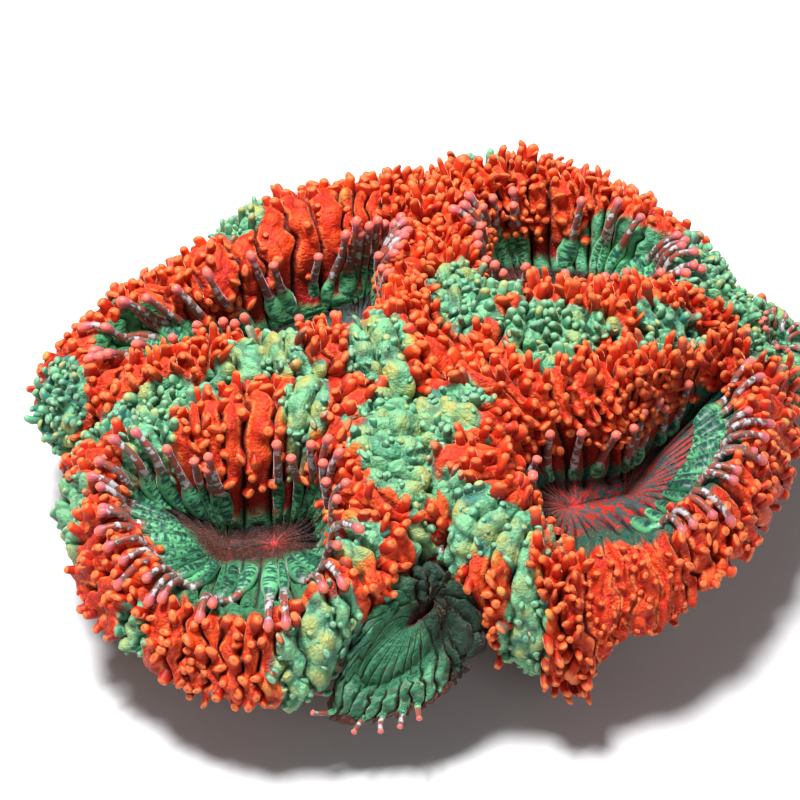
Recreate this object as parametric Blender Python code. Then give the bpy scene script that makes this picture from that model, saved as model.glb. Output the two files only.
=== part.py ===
"""Acan coral: one colony of six fleshy polyps grown together on a stony stump.

Each polyp is a ring-shaped roll of flesh round a sunken oral disc. The rolls
press against each other along narrow seams, carry radial ribs set with knobs,
and hang over a recessed stump that is cut off flat to rest on.
Driving sizes are in millimetres. The mesh is made in metres, +Z up, with the
origin under the middle of the colony on the cut face.
"""

import math

import bmesh
import bpy
import numpy as np
from mathutils import Vector, kdtree

MM = 0.001

# The colony as a whole: a low dome that every roll follows.
DOME_TOP = 24.0
DOME_SIDE_FALL = 0.0070
DOME_BACK_FALL = 0.0080
DOME_CENTRE_Y = 2.0
CENTRE = (2.9, -0.1)
LOWEST = 1.2

# Polyps. The mouth is a short slit between two points. Each crest point is
# (x, y, lift over the dome, depth of the disc below the crest, height of the
# roll where it hangs free). A polyp may have lower ribs, or neither knobs nor tentacles.
POLYPS = {
    "right_front": {
        "mouth": ((14.5, -11.5), (20.0, -9.0)),
        "mouth_depth": 8.6,
        "foot_depth": 12.6,
        "ribs": 20,
        "crest": (
            (5.6, -12.0, 0.0, 8.0, 7.0),
            (8.4, -7.2, 0.0, 8.5, 7.0),
            (18.5, -4.2, 0.0, 9.0, 7.0),
            (28.0, 2.6, -0.5, 7.5, 6.0),
            (31.5, 3.6, -1.0, 4.2, 5.5),
            (32.2, -1.2, -1.2, 2.4, 5.6),
            (31.2, -6.8, -1.2, 2.0, 5.2),
            (29.0, -12.2, -1.2, 2.0, 4.2),
            (25.4, -17.6, -1.4, 2.2, 3.8),
            (21.4, -21.6, -0.2, 4.0, 5.2),
            (17.8, -22.0, -0.4, 4.0, 6.2),
            (15.0, -22.8, -2.6, 3.4, 8.0),
            (10.6, -21.2, -0.2, 5.8, 9.8),
            (6.8, -16.8, 0.2, 7.6, 7.5),
        ),
    },
    "right_back": {
        "mouth": ((11.5, 16.0), (17.5, 15.6)),
        "mouth_depth": 9.2,
        "foot_depth": 12.6,
        "ribs": 18,
        "crest": (
            (3.8, 7.6, -0.4, 7.5, 7.0),
            (7.6, 3.6, 0.3, 9.0, 7.0),
            (16.5, 4.2, 0.5, 9.5, 7.0),
            (23.4, 7.2, 0.2, 8.0, 7.0),
            (27.8, 12.2, -0.6, 4.4, 5.5),
            (26.4, 18.6, -0.8, 4.0, 5.5),
            (21.4, 22.8, -0.3, 5.6, 6.5),
            (13.0, 27.2, 0.3, 9.0, 7.0),
            (6.4, 26.2, 0.2, 8.6, 7.0),
            (3.6, 20.0, -2.2, 6.2, 7.0),
            (3.2, 14.0, -1.8, 6.4, 7.0),
        ),
    },
    "left_back": {
        "mouth": ((-18.0, 5.4), (-5.0, 10.6)),
        "mouth_depth": 9.2,
        "foot_depth": 12.6,
        "ribs": 20,
        "crest": (
            (-31.0, 4.2, -0.4, 3.0, 6.5),
            (-29.2, -0.6, 0.0, 4.4, 6.5),
            (-20.5, -2.0, 0.3, 8.6, 7.0),
            (-10.5, -2.4, 0.4, 9.2, 7.0),
            (-3.4, -1.6, 0.4, 9.0, 7.0),
            (0.0, 5.2, -0.2, 8.0, 7.0),
            (-0.6, 13.6, -2.0, 6.0, 7.0),
            (0.4, 20.2, -0.4, 8.0, 7.0),
            (-5.0, 20.6, 0.4, 9.4, 7.5),
            (-14.5, 16.8, 0.4, 9.4, 7.5),
            (-21.2, 11.4, -0.4, 7.2, 6.0),
            (-27.6, 8.6, -0.8, 3.4, 6.0),
        ),
    },
    "left_front": {
        "mouth": ((-17.0, -16.8), (-12.4, -16.8)),
        "mouth_depth": 6.8,
        "foot_depth": 12.6,
        "ribs": 18,
        "crest": (
            (-29.2, -12.8, -1.2, 3.0, 4.6),
            (-26.6, -9.4, -0.2, 6.4, 7.0),
            (-18.0, -8.6, 0.2, 9.0, 7.0),
            (-9.4, -9.0, 0.3, 9.0, 7.0),
            (-4.4, -12.6, 0.4, 7.6, 7.0),
            (-3.8, -20.0, 0.4, 6.6, 7.0),
            (-7.0, -26.2, -0.6, 3.2, 6.6),
            (-13.6, -28.4, -1.4, 1.9, 5.2),
            (-21.2, -25.6, -1.5, 1.8, 4.4),
            (-26.4, -19.6, -1.4, 2.0, 4.2),
        ),
    },
    "front_bud": {
        "mouth": ((0.4, -26.3), (1.6, -25.8)),
        "mouth_depth": 4.8,
        "foot_depth": 4.6,
        "relief": 0.4,
        "bare": True,
        "ribs": 8,
        "crest": (
            (-1.4, -25.4, -2.6, 3.0, 3.0),
            (1.4, -24.3, -2.4, 3.0, 3.0),
            (3.8, -25.0, -3.2, 2.6, 2.6),
            (4.9, -26.4, -4.4, 1.8, 1.6),
            (4.2, -27.8, -5.6, 1.2, 1.0),
            (2.8, -29.2, -6.4, 0.9, 1.0),
            (1.0, -30.5, -6.8, 0.8, 1.0),
            (-1.8, -31.4, -7.2, 0.8, 1.0),
            (-4.4, -31.7, -7.2, 0.9, 1.2),
            (-6.2, -31.0, -6.4, 1.0, 1.4),
            (-4.4, -28.4, -4.6, 1.8, 1.8),
        ),
    },
    "side_bud": {
        "mouth": ((34.6, 9.6), (35.2, 10.4)),
        "mouth_depth": 3.6,
        "foot_depth": 9.0,
        "ribs": 7,
        "crest": (
            (31.8, 8.8, -1.8, 3.4, 4.0),
            (35.2, 6.6, -2.4, 2.8, 4.0),
            (38.0, 8.6, -3.0, 2.4, 3.8),
            (37.8, 12.4, -3.0, 2.6, 3.8),
            (34.4, 13.8, -2.2, 3.2, 4.0),
            (31.6, 11.8, -1.4, 3.6, 4.0),
        ),
    },
}

# Roll of flesh, the same on every polyp.
INNER_WALL_BASE = 1.6
INNER_WALL_PER_DEPTH = 0.42
INNER_WALL_SHARE = 0.62
ROLL_BASE = 0.6
ROLL_PER_HEIGHT = 0.58
SEAM_REACH = 5.0
HUB = (2.4, -2.6)
HUB_REACH = 6.0
HUB_SPREAD = 9.0
SEAM_OVERLAP = 0.5
# A bud has a free rim all round, and large polyps lap over it: beside them its crest
# counts as this much further away.
BUD_PULL = 2.6
SKIRT_START = (29.0, 23.5)
TABLE = 240
CURVE_STEPS = 24

# Ribs: relief in millimetres at each station of the profile, out from the
# mouth, over the disc, up the inner wall, over the crest and under the lip.
STATIONS = (1.0, 3.1, 4.2, 5.3, 6.4, 7.5, 8.5, 9.5, 11.0, 13.0)
RELIEF = (0.1, 0.5, 0.55, 0.55, 0.50, 0.55, 0.6, 0.6, 0.3, 0.0)
MARGIN_STATION = 1
SHORTEST_EDGE = 0.7
OFFSET_SHARE = 0.42
KNOB_STATIONS = (4, 5, 6, 7)
KNOB_OFFSET = 0.8
KNOB_HEIGHT = 1.5
KNOB_TIP = 0.66
LIP_STATION = 7
FREE_LIP = 0.6

# Tentacles: one on every other rib, from the margin of the disc.
TENTACLE_OFFSET = 0.55
TENTACLE_LENGTH = 5.0
TENTACLE_RISE = 0.30
TENTACLE_RISE_PER_DEPTH = 0.14
TENTACLE_STEPS = ((0.86, 0.62), (1.0, 1.15))

# Stump: outline at the height where the flesh meets it.
STUMP_OUTLINE = (
    (32.0, -4.0),
    (27.0, -16.5),
    (18.0, -19.5),
    (8.0, -19.5),
    (0.0, -26.5),
    (-9.0, -26.5),
    (-21.0, -25.5),
    (-27.0, -19.0),
    (-26.0, -8.0),
    (-28.0, 1.0),
    (-24.0, 9.0),
    (-12.0, 17.5),
    (4.0, 24.0),
    (18.0, 25.5),
    (27.5, 18.5),
    (34.0, 9.0),
)
STUMP_CENTRE = (2.0, -1.0)
STUMP_SEGMENTS = 40
STUMP_RINGS = ((0.0, 0.86), (0.25, 0.88), (0.62, 0.91), (1.0, 0.98))
STUMP_TOP_DROP = 10.8
SAME_CORNER = 0.002

FLESH_COLOUR = (0.80, 0.08, 0.016, 1.0)
FLESH_ROUGHNESS = 0.42


def clear_scene():
    for item in list(bpy.data.objects):
        bpy.data.objects.remove(item, do_unlink=True)


def dome(x, y):
    """Height of the colony's general form above the cut face."""
    return DOME_TOP - DOME_SIDE_FALL * x**2 - DOME_BACK_FALL * (y - DOME_CENTRE_Y) ** 2


def closed_curve(points, count):
    """Smooth closed curve through points, read at equal steps of length."""
    knots = np.array(points, dtype=float)
    before = np.roll(knots, 1, axis=0)
    after = np.roll(knots, -1, axis=0)
    beyond = np.roll(knots, -2, axis=0)
    f = np.linspace(0.0, 1.0, CURVE_STEPS, endpoint=False)[None, :, None]
    a = knots[:, None, :]
    b = after[:, None, :]
    tangent_a = (after - before)[:, None, :] * 0.5
    tangent_b = (beyond - knots)[:, None, :] * 0.5
    dense = (
        (2 * f**3 - 3 * f**2 + 1) * a
        + (f**3 - 2 * f**2 + f) * tangent_a
        + (3 * f**2 - 2 * f**3) * b
        + (f**3 - f**2) * tangent_b
    ).reshape(-1, knots.shape[1])
    ring = np.vstack([dense, dense[:1]])
    steps = np.linalg.norm(np.diff(ring[:, :2], axis=0), axis=1)
    length = np.concatenate([[0.0], np.cumsum(steps)])
    wanted = np.linspace(0.0, length[-1], count, endpoint=False)
    return np.stack([np.interp(wanted, length, ring[:, k]) for k in range(ring.shape[1])], 1)


def smooth_ring(values, passes):
    """Running average round a closed list."""
    for _ in range(passes):
        values = 0.25 * np.roll(values, 1) + 0.5 * values + 0.25 * np.roll(values, -1)
    return values


def smooth_step(value):
    value = np.clip(value, 0.0, 1.0)
    return value * value * (3.0 - 2.0 * value)


def polyp_table(name, curves):
    """Sizes of one polyp at TABLE even places along its crest."""
    polyp = POLYPS[name]
    crest = curves[name]
    centre_a, centre_b = (np.array(end) for end in polyp["mouth"])
    slit = centre_b - centre_a
    along = np.clip((crest[:, :2] - centre_a) @ slit / (slit @ slit), 0.0, 1.0)
    along = smooth_ring(along, 6)
    foot = centre_a + along[:, None] * slit
    spoke = crest[:, :2] - foot
    reach = np.linalg.norm(spoke, axis=1)
    heading = spoke / reach[:, None]

    pulls = {key: BUD_PULL if key.endswith("bud") else 1.0 for key in curves}
    others = np.vstack([curve[:, :2] for key, curve in curves.items() if key != name])
    pull = np.repeat([pulls[key] for key in curves if key != name], TABLE)
    free = ROLL_BASE + ROLL_PER_HEIGHT * crest[:, 4]
    from_hub = np.linalg.norm(crest[:, :2] - np.array(HUB), axis=1)
    reach_out = SEAM_REACH + HUB_REACH * np.exp(-((from_hub / HUB_SPREAD) ** 2))
    limit = np.full(TABLE, SEAM_REACH + HUB_REACH + 3.0)
    for step in np.arange(SEAM_REACH + HUB_REACH + 3.0, 0.0, -0.1):
        place = crest[:, :2] + heading * step
        to_other = np.min(np.linalg.norm(place[:, None] - others[None], axis=2) * pull, axis=1)
        to_own = np.min(np.linalg.norm(place[:, None] - crest[None, :, :2], axis=2), axis=1) * pulls[name]
        limit[to_other <= to_own] = step
    rim = np.ones(TABLE) if name.endswith("bud") else smooth_step((limit - reach_out) / 1.5)
    width = np.minimum(limit, free + (reach_out - free) * (1.0 - rim))
    edge = crest[:, :2] + heading * width[:, None] - np.array(STUMP_CENTRE)
    outside = smooth_step((np.linalg.norm(edge / np.array(SKIRT_START), axis=1) - 0.9) / 0.2)
    return {
        "foot": foot,
        "heading": heading,
        "reach": reach,
        "lift": crest[:, 2],
        "depth": crest[:, 3],
        "roll": crest[:, 4],
        "width": smooth_ring(width, 5),
        "rim": smooth_ring(rim, 5),
        "under": smooth_ring(np.maximum(rim, outside), 5),
    }


def read_table(table, place):
    """Table values at a place between 0 and 1 along the crest."""
    spot = (place % 1.0) * TABLE
    first = int(spot) % TABLE
    part = spot - int(spot)
    return {key: value[first] * (1 - part) + value[(first + 1) % TABLE] * part for key, value in table.items()}


def profile_controls(row, polyp):
    """Control points (distance from the slit, height over the dome) of one rib."""
    reach = row["reach"]
    depth = row["depth"]
    roll = row["roll"]
    width = row["width"]
    rim = row["rim"]
    under = row["under"]
    mouth_depth = polyp["mouth_depth"]
    wall = min(INNER_WALL_BASE + INNER_WALL_PER_DEPTH * depth, INNER_WALL_SHARE * reach)
    disc = reach - wall
    sink = depth - mouth_depth

    def blend(free, seam, share=rim):
        return seam + (free - seam) * share

    edge = reach + width
    return np.array(
        [
            (0.0, -mouth_depth - 0.7),
            (0.30 * disc, -mouth_depth - 0.30 * sink),
            (0.70 * disc, -mouth_depth - 0.80 * sink + 0.1),
            (disc, -depth + 0.6),
            (reach - 0.72 * wall, -0.60 * depth),
            (reach - 0.62 * wall, -0.20 * depth),
            (reach - 0.22 * wall, 0.55),
            (reach + 0.35 * width, 0.25),
            (reach + 0.80 * width, blend(-1.6, -0.5)),
            (blend(reach + 1.05 * width, edge), blend(-0.5 * roll, -2.0)),
            (blend(edge, edge + SEAM_OVERLAP, under), blend(-0.88 * roll, -5.5, under)),
            (blend(reach + 0.5 * width, edge + SEAM_OVERLAP, under), blend(-1.08 * roll, -9.0, under)),
            (blend(reach - 1.5, edge - 0.5, under), blend(-roll - 1.2, -11.5, under)),
            (max(reach - 4.0, 0.4 * reach), -polyp["foot_depth"]),
        ]
    )


def on_spline(controls, station):
    """Point and slope of a uniform cubic B-spline whose ends are held."""
    ends = np.vstack([2 * controls[0] - controls[1], controls, 2 * controls[-1] - controls[-2]])
    first = min(int(station), len(controls) - 2)
    f = station - first
    weights = np.array([(1 - f) ** 3, 3 * f**3 - 6 * f**2 + 4, -3 * f**3 + 3 * f**2 + 3 * f + 1, f**3]) / 6
    slopes = np.array([-((1 - f) ** 2), 3 * f**2 - 4 * f, -3 * f**2 + 2 * f + 1, f**2]) / 2
    piece = ends[first : first + 4]
    return weights @ piece, slopes @ piece


def surface_point(row, polyp, station, relief):
    """World point in millimetres on one ray, pushed out along its normal."""
    spot, slope = on_spline(profile_controls(row, polyp), station)
    length = math.hypot(slope[0], slope[1])
    out_r = -slope[1] / length
    out_z = slope[0] / length
    distance = spot[0] + relief * out_r
    x, y = row["foot"] + row["heading"] * distance
    settle = smooth_step(distance / row["reach"]) if distance < row["reach"] else 1.0
    z = max(dome(x, y) + row["lift"] * settle + spot[1] + relief * out_z, LOWEST)
    across = row["heading"] * out_r
    return Vector((x - CENTRE[0], y - CENTRE[1], z)) * MM, Vector((across[0], across[1], out_z))


def make_polyp(name, table):
    """Closed solid of one polyp, with the places of its knobs and tentacles."""
    polyp = POLYPS[name]
    rays = polyp["ribs"] * 2
    relief_share = polyp.get("relief", 1.0)
    bare = polyp.get("bare", False)
    bm = bmesh.new()
    rings = [[] for _ in STATIONS]
    knobs = []
    tentacles = []
    for ray in range(rays):
        row = read_table(table, ray / rays)
        rib = ray % 2 == 0
        side = relief_share if rib else -relief_share
        for ring, (station, relief) in enumerate(zip(STATIONS, RELIEF)):
            place, normal = surface_point(row, polyp, station, relief * side)
            rings[ring].append(bm.verts.new(place))
            on_lip = ring != LIP_STATION or row["rim"] > FREE_LIP
            if rib and not bare and ring in KNOB_STATIONS and on_lip:
                knobs.append((place, normal))
            if rib and not bare and ring == MARGIN_STATION and (ray // 2) % 2 == 0:
                lean = Vector((row["heading"][0], row["heading"][1], 0.0))
                rise = TENTACLE_RISE + TENTACLE_RISE_PER_DEPTH * row["depth"]
                tentacles.append((place, (lean + Vector((0, 0, rise))).normalized()))
    for inner, outer in zip(rings, rings[1:]):
        for i in range(rays):
            j = (i + 1) % rays
            bm.faces.new((inner[i], outer[i], outer[j], inner[j]))
    for ring, inward in ((rings[0], True), (rings[-1], False)):
        middle = sum((v.co for v in ring), Vector()) / rays
        hub = bm.verts.new(middle + Vector((0, 0, -0.3 * MM)))
        for i in range(rays):
            a, b = ring[i], ring[(i + 1) % rays]
            bm.faces.new((hub, a, b) if inward else (hub, b, a))
    bmesh.ops.recalc_face_normals(bm, faces=bm.faces)
    mesh = bpy.data.meshes.new(name)
    bm.to_mesh(mesh)
    bm.free()
    solid = bpy.data.objects.new(name, mesh)
    bpy.context.collection.objects.link(solid)
    return solid, knobs, tentacles


def make_stump():
    """Stony stump, flat underneath, whose top is buried in the polyps."""
    outline = closed_curve(STUMP_OUTLINE, STUMP_SEGMENTS)
    centre = np.array(STUMP_CENTRE)
    bm = bmesh.new()
    rings = []
    for share, size in STUMP_RINGS:
        ring = []
        for point in outline:
            x, y = centre + (point - centre) * size
            height = (dome(x, y) - STUMP_TOP_DROP) * share
            ring.append(bm.verts.new(Vector((x - CENTRE[0], y - CENTRE[1], height)) * MM))
        rings.append(ring)
    for low, high in zip(rings, rings[1:]):
        for i in range(STUMP_SEGMENTS):
            j = (i + 1) % STUMP_SEGMENTS
            bm.faces.new((low[i], low[j], high[j], high[i]))
    bm.faces.new(rings[0][::-1])
    top = dome(*STUMP_CENTRE) - STUMP_TOP_DROP
    hub = bm.verts.new(Vector((centre[0] - CENTRE[0], centre[1] - CENTRE[1], top)) * MM)
    for i in range(STUMP_SEGMENTS):
        bm.faces.new((hub, rings[-1][i], rings[-1][(i + 1) % STUMP_SEGMENTS]))
    bmesh.ops.recalc_face_normals(bm, faces=bm.faces)
    mesh = bpy.data.meshes.new("colony")
    bm.to_mesh(mesh)
    bm.free()
    stump = bpy.data.objects.new("colony", mesh)
    bpy.context.collection.objects.link(stump)
    return stump


def join_solid(body, solid):
    """Fuse a solid into the body with an exact Boolean and remove it."""
    join = body.modifiers.new("join", "BOOLEAN")
    join.operation = "UNION"
    join.solver = "EXACT"
    join.object = solid
    bpy.context.view_layer.objects.active = body
    bpy.ops.object.modifier_apply(modifier=join.name)
    bpy.data.objects.remove(solid, do_unlink=True)


def grow(bm, vert, direction, offset, length, steps):
    """Raise a tapered finger out of one corner of the mesh."""
    shortest = min(edge.calc_length() for edge in vert.link_edges)
    if len(vert.link_faces) != 4 or shortest < SHORTEST_EDGE * MM:
        return False
    offset = min(offset, OFFSET_SHARE * shortest)
    made = bmesh.ops.bevel(
        bm, geom=[vert], offset=offset, segments=1, affect="VERTICES", offset_type="OFFSET"
    )
    caps = [face for face in made["faces"] if len(face.verts) == 4 and face.is_valid]
    if len(caps) != 1:
        return False
    cap = caps[0]
    base = cap.calc_center_median()
    shape = [corner.co - base for corner in cap.verts]
    for share, size in steps:
        cap = bmesh.ops.extrude_discrete_faces(bm, faces=[cap])["faces"][0]
        for corner, arm in zip(cap.verts, shape):
            corner.co = base + direction * (length * share) + arm * size
    return True


def drop_flaps(bm):
    """Remove pairs of triangles that lie back to back on the same corners."""
    by_corners = {}
    for face in bm.faces:
        by_corners.setdefault(frozenset(face.verts), []).append(face)
    flaps = [face for group in by_corners.values() if len(group) > 1 for face in group]
    bmesh.ops.delete(bm, geom=flaps, context="FACES")


def grow_all(body, knobs, tentacles):
    """Knobs on the ribs and tentacles on the disc margin, all in one body."""
    bm = bmesh.new()
    bm.from_mesh(body.data)
    places = [(place, normal, KNOB_OFFSET, KNOB_HEIGHT, ((1.0, KNOB_TIP),)) for place, normal in knobs]
    places += [
        (place, normal, TENTACLE_OFFSET, TENTACLE_LENGTH, TENTACLE_STEPS) for place, normal in tentacles
    ]
    bm.verts.ensure_lookup_table()
    tree = kdtree.KDTree(len(bm.verts))
    for vert in bm.verts:
        tree.insert(vert.co, vert.index)
    tree.balance()
    found = []
    for place, normal, offset, length, steps in places:
        _, index, distance = tree.find(place)
        if distance < SAME_CORNER * MM:
            found.append((bm.verts[index], normal, offset, length, steps))
    for vert, normal, offset, length, steps in found:
        grow(bm, vert, normal, offset * MM, length * MM, steps)
    bmesh.ops.triangulate(bm, faces=bm.faces)
    drop_flaps(bm)
    bmesh.ops.recalc_face_normals(bm, faces=bm.faces)
    bm.to_mesh(body.data)
    bm.free()


def flesh_material():
    material = bpy.data.materials.new("flesh")
    material.use_nodes = True
    shader = material.node_tree.nodes["Principled BSDF"]
    shader.inputs["Base Color"].default_value = FLESH_COLOUR
    shader.inputs["Roughness"].default_value = FLESH_ROUGHNESS
    shader.inputs["Metallic"].default_value = 0.0
    return material


def build():
    clear_scene()
    curves = {name: closed_curve(polyp["crest"], TABLE) for name, polyp in POLYPS.items()}
    body = make_stump()
    knobs = []
    tentacles = []
    for name in POLYPS:
        solid, its_knobs, its_tentacles = make_polyp(name, polyp_table(name, curves))
        knobs += its_knobs
        tentacles += its_tentacles
        join_solid(body, solid)
    grow_all(body, knobs, tentacles)
    body.data.materials.clear()
    body.data.materials.append(flesh_material())
    body.data.shade_smooth()
    body.data.set_sharp_from_angle(angle=math.radians(60))


build()
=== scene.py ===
"""Acan coral colony: six fleshy polyps grown together on a stony stump."""

import math

import bpy
import numpy as np
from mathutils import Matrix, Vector


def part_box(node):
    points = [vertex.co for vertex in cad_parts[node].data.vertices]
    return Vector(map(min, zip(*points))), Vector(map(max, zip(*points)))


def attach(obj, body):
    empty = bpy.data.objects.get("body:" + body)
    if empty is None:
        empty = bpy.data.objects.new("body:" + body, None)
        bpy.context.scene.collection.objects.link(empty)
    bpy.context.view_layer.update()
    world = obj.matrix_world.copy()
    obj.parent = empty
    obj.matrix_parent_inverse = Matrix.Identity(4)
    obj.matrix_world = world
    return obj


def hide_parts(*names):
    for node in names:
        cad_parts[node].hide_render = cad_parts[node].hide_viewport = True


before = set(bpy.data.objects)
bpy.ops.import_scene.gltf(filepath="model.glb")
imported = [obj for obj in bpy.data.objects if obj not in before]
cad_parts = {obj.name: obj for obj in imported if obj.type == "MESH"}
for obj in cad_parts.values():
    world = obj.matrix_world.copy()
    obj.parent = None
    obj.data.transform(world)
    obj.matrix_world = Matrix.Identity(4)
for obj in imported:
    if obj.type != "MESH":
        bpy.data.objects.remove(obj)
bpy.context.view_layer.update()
bpy.ops.object.select_all(action="DESELECT")

# --- Flesh of the polyps ---------------------------------------------------------
# Each polyp is a ring-shaped roll of soft tissue over the skeleton, round a sunken
# oral disc. It grew as one piece with its neighbours and meets them along narrow
# seams. Radial ribs run from the disc over the roll and hang over the rim.

# Lengths are millimetres on the plan, and MM is one of them in the colony's frame.
COLONY_LENGTH = 80.2
colony_low, colony_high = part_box("colony")
MM = (colony_high[0] - colony_low[0]) / COLONY_LENGTH
MIDDLE = (
    (colony_high[0] + colony_low[0]) / 2 / MM,
    (colony_high[1] + colony_low[1]) / 2 / MM,
)
PLAN_CENTRE = (2.9, -0.1)
DOME_TOP = 24.0
DOME_SIDE_FALL = 0.0070
DOME_BACK_FALL = 0.0080
DOME_CENTRE_Y = 2.0
LOWEST = 1.2

# The mouth is a short slit between two points, with a red star (x, y, size) at one
# place of it. Each crest point is (x, y, lift over the dome, depth of the disc below
# the crest, height of the roll where it is free).
POLYPS = {
    "right_front": {
        "mouth": ((14.5, -11.5), (20.0, -9.0)),
        "star": (15.2, -11.2, 1.0),
        "mouth_depth": 8.6,
        "foot_depth": 12.6,
        "ribs": 42,
        "crest": (
            (5.6, -12.0, 0.0, 8.0, 7.0), (8.4, -7.2, 0.0, 8.5, 7.0), (18.5, -4.2, 0.0, 9.0, 7.0),
            (28.0, 2.6, -0.5, 7.5, 6.0), (31.5, 3.6, -1.0, 4.2, 5.5), (32.2, -1.2, -1.2, 2.4, 5.6),
            (31.2, -6.8, -1.2, 2.0, 5.2), (29.0, -12.2, -1.2, 2.0, 4.2),
            (25.4, -17.6, -1.4, 2.2, 3.8), (21.4, -21.6, -0.2, 4.0, 5.2),
            (17.8, -22.0, -0.4, 4.0, 6.2), (15.0, -22.8, -2.6, 3.4, 8.0),
            (10.6, -21.2, -0.2, 5.8, 9.8), (6.8, -16.8, 0.2, 7.6, 7.5),
        ),
    },
    "right_back": {
        "mouth": ((11.5, 16.0), (17.5, 15.6)),
        "star": (13.5, 15.9, 0.8),
        "mouth_depth": 9.2,
        "foot_depth": 12.6,
        "ribs": 38,
        "crest": (
            (3.8, 7.6, -0.4, 7.5, 7.0), (7.6, 3.6, 0.3, 9.0, 7.0), (16.5, 4.2, 0.5, 9.5, 7.0),
            (23.4, 7.2, 0.2, 8.0, 7.0), (27.8, 12.2, -0.6, 4.4, 5.5), (26.4, 18.6, -0.8, 4.0, 5.5),
            (21.4, 22.8, -0.3, 5.6, 6.5), (13.0, 27.2, 0.3, 9.0, 7.0), (6.4, 26.2, 0.2, 8.6, 7.0),
            (3.6, 20.0, -2.2, 6.2, 7.0), (3.2, 14.0, -1.8, 6.4, 7.0),
        ),
    },
    "left_back": {
        "mouth": ((-18.0, 5.4), (-5.0, 10.6)),
        "star": (-9.0, 9.0, 0.8),
        "mouth_depth": 9.2,
        "foot_depth": 12.6,
        "ribs": 40,
        "crest": (
            (-31.0, 4.2, -0.4, 3.0, 6.5), (-29.2, -0.6, 0.0, 4.4, 6.5),
            (-20.5, -2.0, 0.3, 8.6, 7.0), (-10.5, -2.4, 0.4, 9.2, 7.0), (-3.4, -1.6, 0.4, 9.0, 7.0),
            (0.0, 5.2, -0.2, 8.0, 7.0), (-0.6, 13.6, -2.0, 6.0, 7.0), (0.4, 20.2, -0.4, 8.0, 7.0),
            (-5.0, 20.6, 0.4, 9.4, 7.5), (-14.5, 16.8, 0.4, 9.4, 7.5),
            (-21.2, 11.4, -0.4, 7.2, 6.0), (-27.6, 8.6, -0.8, 3.4, 6.0),
        ),
    },
    "left_front": {
        "mouth": ((-17.0, -16.8), (-12.4, -16.8)),
        "star": (-12.7, -16.9, 0.6),
        "mouth_depth": 6.8,
        "foot_depth": 12.6,
        "ribs": 38,
        "crest": (
            (-29.2, -12.8, -1.2, 3.0, 4.6), (-26.6, -9.4, -0.2, 6.4, 7.0),
            (-18.0, -8.6, 0.2, 9.0, 7.0), (-9.4, -9.0, 0.3, 9.0, 7.0), (-4.4, -12.6, 0.4, 7.6, 7.0),
            (-3.8, -20.0, 0.4, 6.6, 7.0), (-7.0, -26.2, -0.6, 3.2, 6.6),
            (-13.6, -28.4, -1.4, 1.9, 5.2), (-21.2, -25.6, -1.5, 1.8, 4.4),
            (-26.4, -19.6, -1.4, 2.0, 4.2),
        ),
    },
    "front_bud": {
        "mouth": ((0.4, -26.3), (1.6, -25.8)),
        "star": (1.0, -26.0, 0.4),
        "mouth_depth": 4.8,
        "foot_depth": 4.6,
        "ribs": 22,
        "crest": (
            (-1.4, -25.4, -2.6, 3.0, 3.0), (1.4, -24.3, -2.4, 3.0, 3.0),
            (3.8, -25.0, -3.2, 2.6, 2.6), (4.9, -26.4, -4.4, 1.8, 1.6),
            (4.2, -27.8, -5.6, 1.2, 1.0), (2.8, -29.2, -6.4, 0.9, 1.0),
            (1.0, -30.5, -6.8, 0.8, 1.0), (-1.8, -31.4, -7.2, 0.8, 1.0),
            (-4.4, -31.7, -7.2, 0.9, 1.2), (-6.2, -31.0, -6.4, 1.0, 1.4),
            (-4.4, -28.4, -4.6, 1.8, 1.8),
        ),
    },
    "side_bud": {
        "mouth": ((34.6, 9.6), (35.2, 10.4)),
        "star": (34.9, 10.0, 0.5),
        "mouth_depth": 3.6,
        "foot_depth": 9.0,
        "ribs": 14,
        "crest": (
            (31.8, 8.8, -1.8, 3.4, 4.0), (35.2, 6.6, -2.4, 2.8, 4.0), (38.0, 8.6, -3.0, 2.4, 3.8),
            (37.8, 12.4, -3.0, 2.6, 3.8), (34.4, 13.8, -2.2, 3.2, 4.0),
            (31.6, 11.8, -1.4, 3.6, 4.0),
        ),
    },
}

# How wide the inner wall is for the depth of the disc, and the outer roll for its
# height, and how far the flesh reaches out to a neighbour at a seam.
INNER_WALL_BASE = 1.6
INNER_WALL_PER_DEPTH = 0.42
INNER_WALL_SHARE = 0.62
ROLL_BASE = 0.6
ROLL_PER_HEIGHT = 0.58
SEAM_REACH = 5.0
HUB = (2.4, -2.6)
HUB_REACH = 6.0
HUB_SPREAD = 9.0
SEAM_OVERLAP = 0.5
RIM_SOFTNESS = 1.5
BUD_PULL = 2.6
SKIRT_START = (29.0, 23.5)
STUMP_CENTRE = (2.0, -1.0)
KNOT_STEPS = 24
TURN_STEPS = 240
STATION_STEP = 0.1
CREST_STATION = 6.5
LAST_STATION = 13.0

# Relief of the ribs along a profile, as (station, millimetres). Stations count the
# control points out from the mouth: 3 is the margin of the disc, 5 the inner wall,
# 6.5 the crest, 9 the lip and 13 the foot.
RIB_RELIEF = (
    (0.0, 0.0), (0.6, 0.03), (1.4, 0.10), (2.4, 0.38), (3.2, 0.60), (4.2, 0.62), (5.2, 0.66),
    (6.4, 0.72), (7.6, 0.72), (9.0, 0.76), (10.4, 0.55), (12.0, 0.10), (13.0, 0.0),
)
# The bead is a ring of low swellings where the ribs come up from the disc.
BEAD_STATION = 2.95
BEAD_LENGTH = 0.42
BEAD_HEIGHT = 0.42
RAYS_PER_RIB = 12
MEANDER = 0.42
WAVINESS = 0.26
# Rough layers of the skin: waves per millimetre, height, and more height where green.
ROUGH_LAYERS = ((0.9, 0.15, 0.10), (2.0, 0.08, 0.10), (3.4, 0.02, 0.08))
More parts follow.
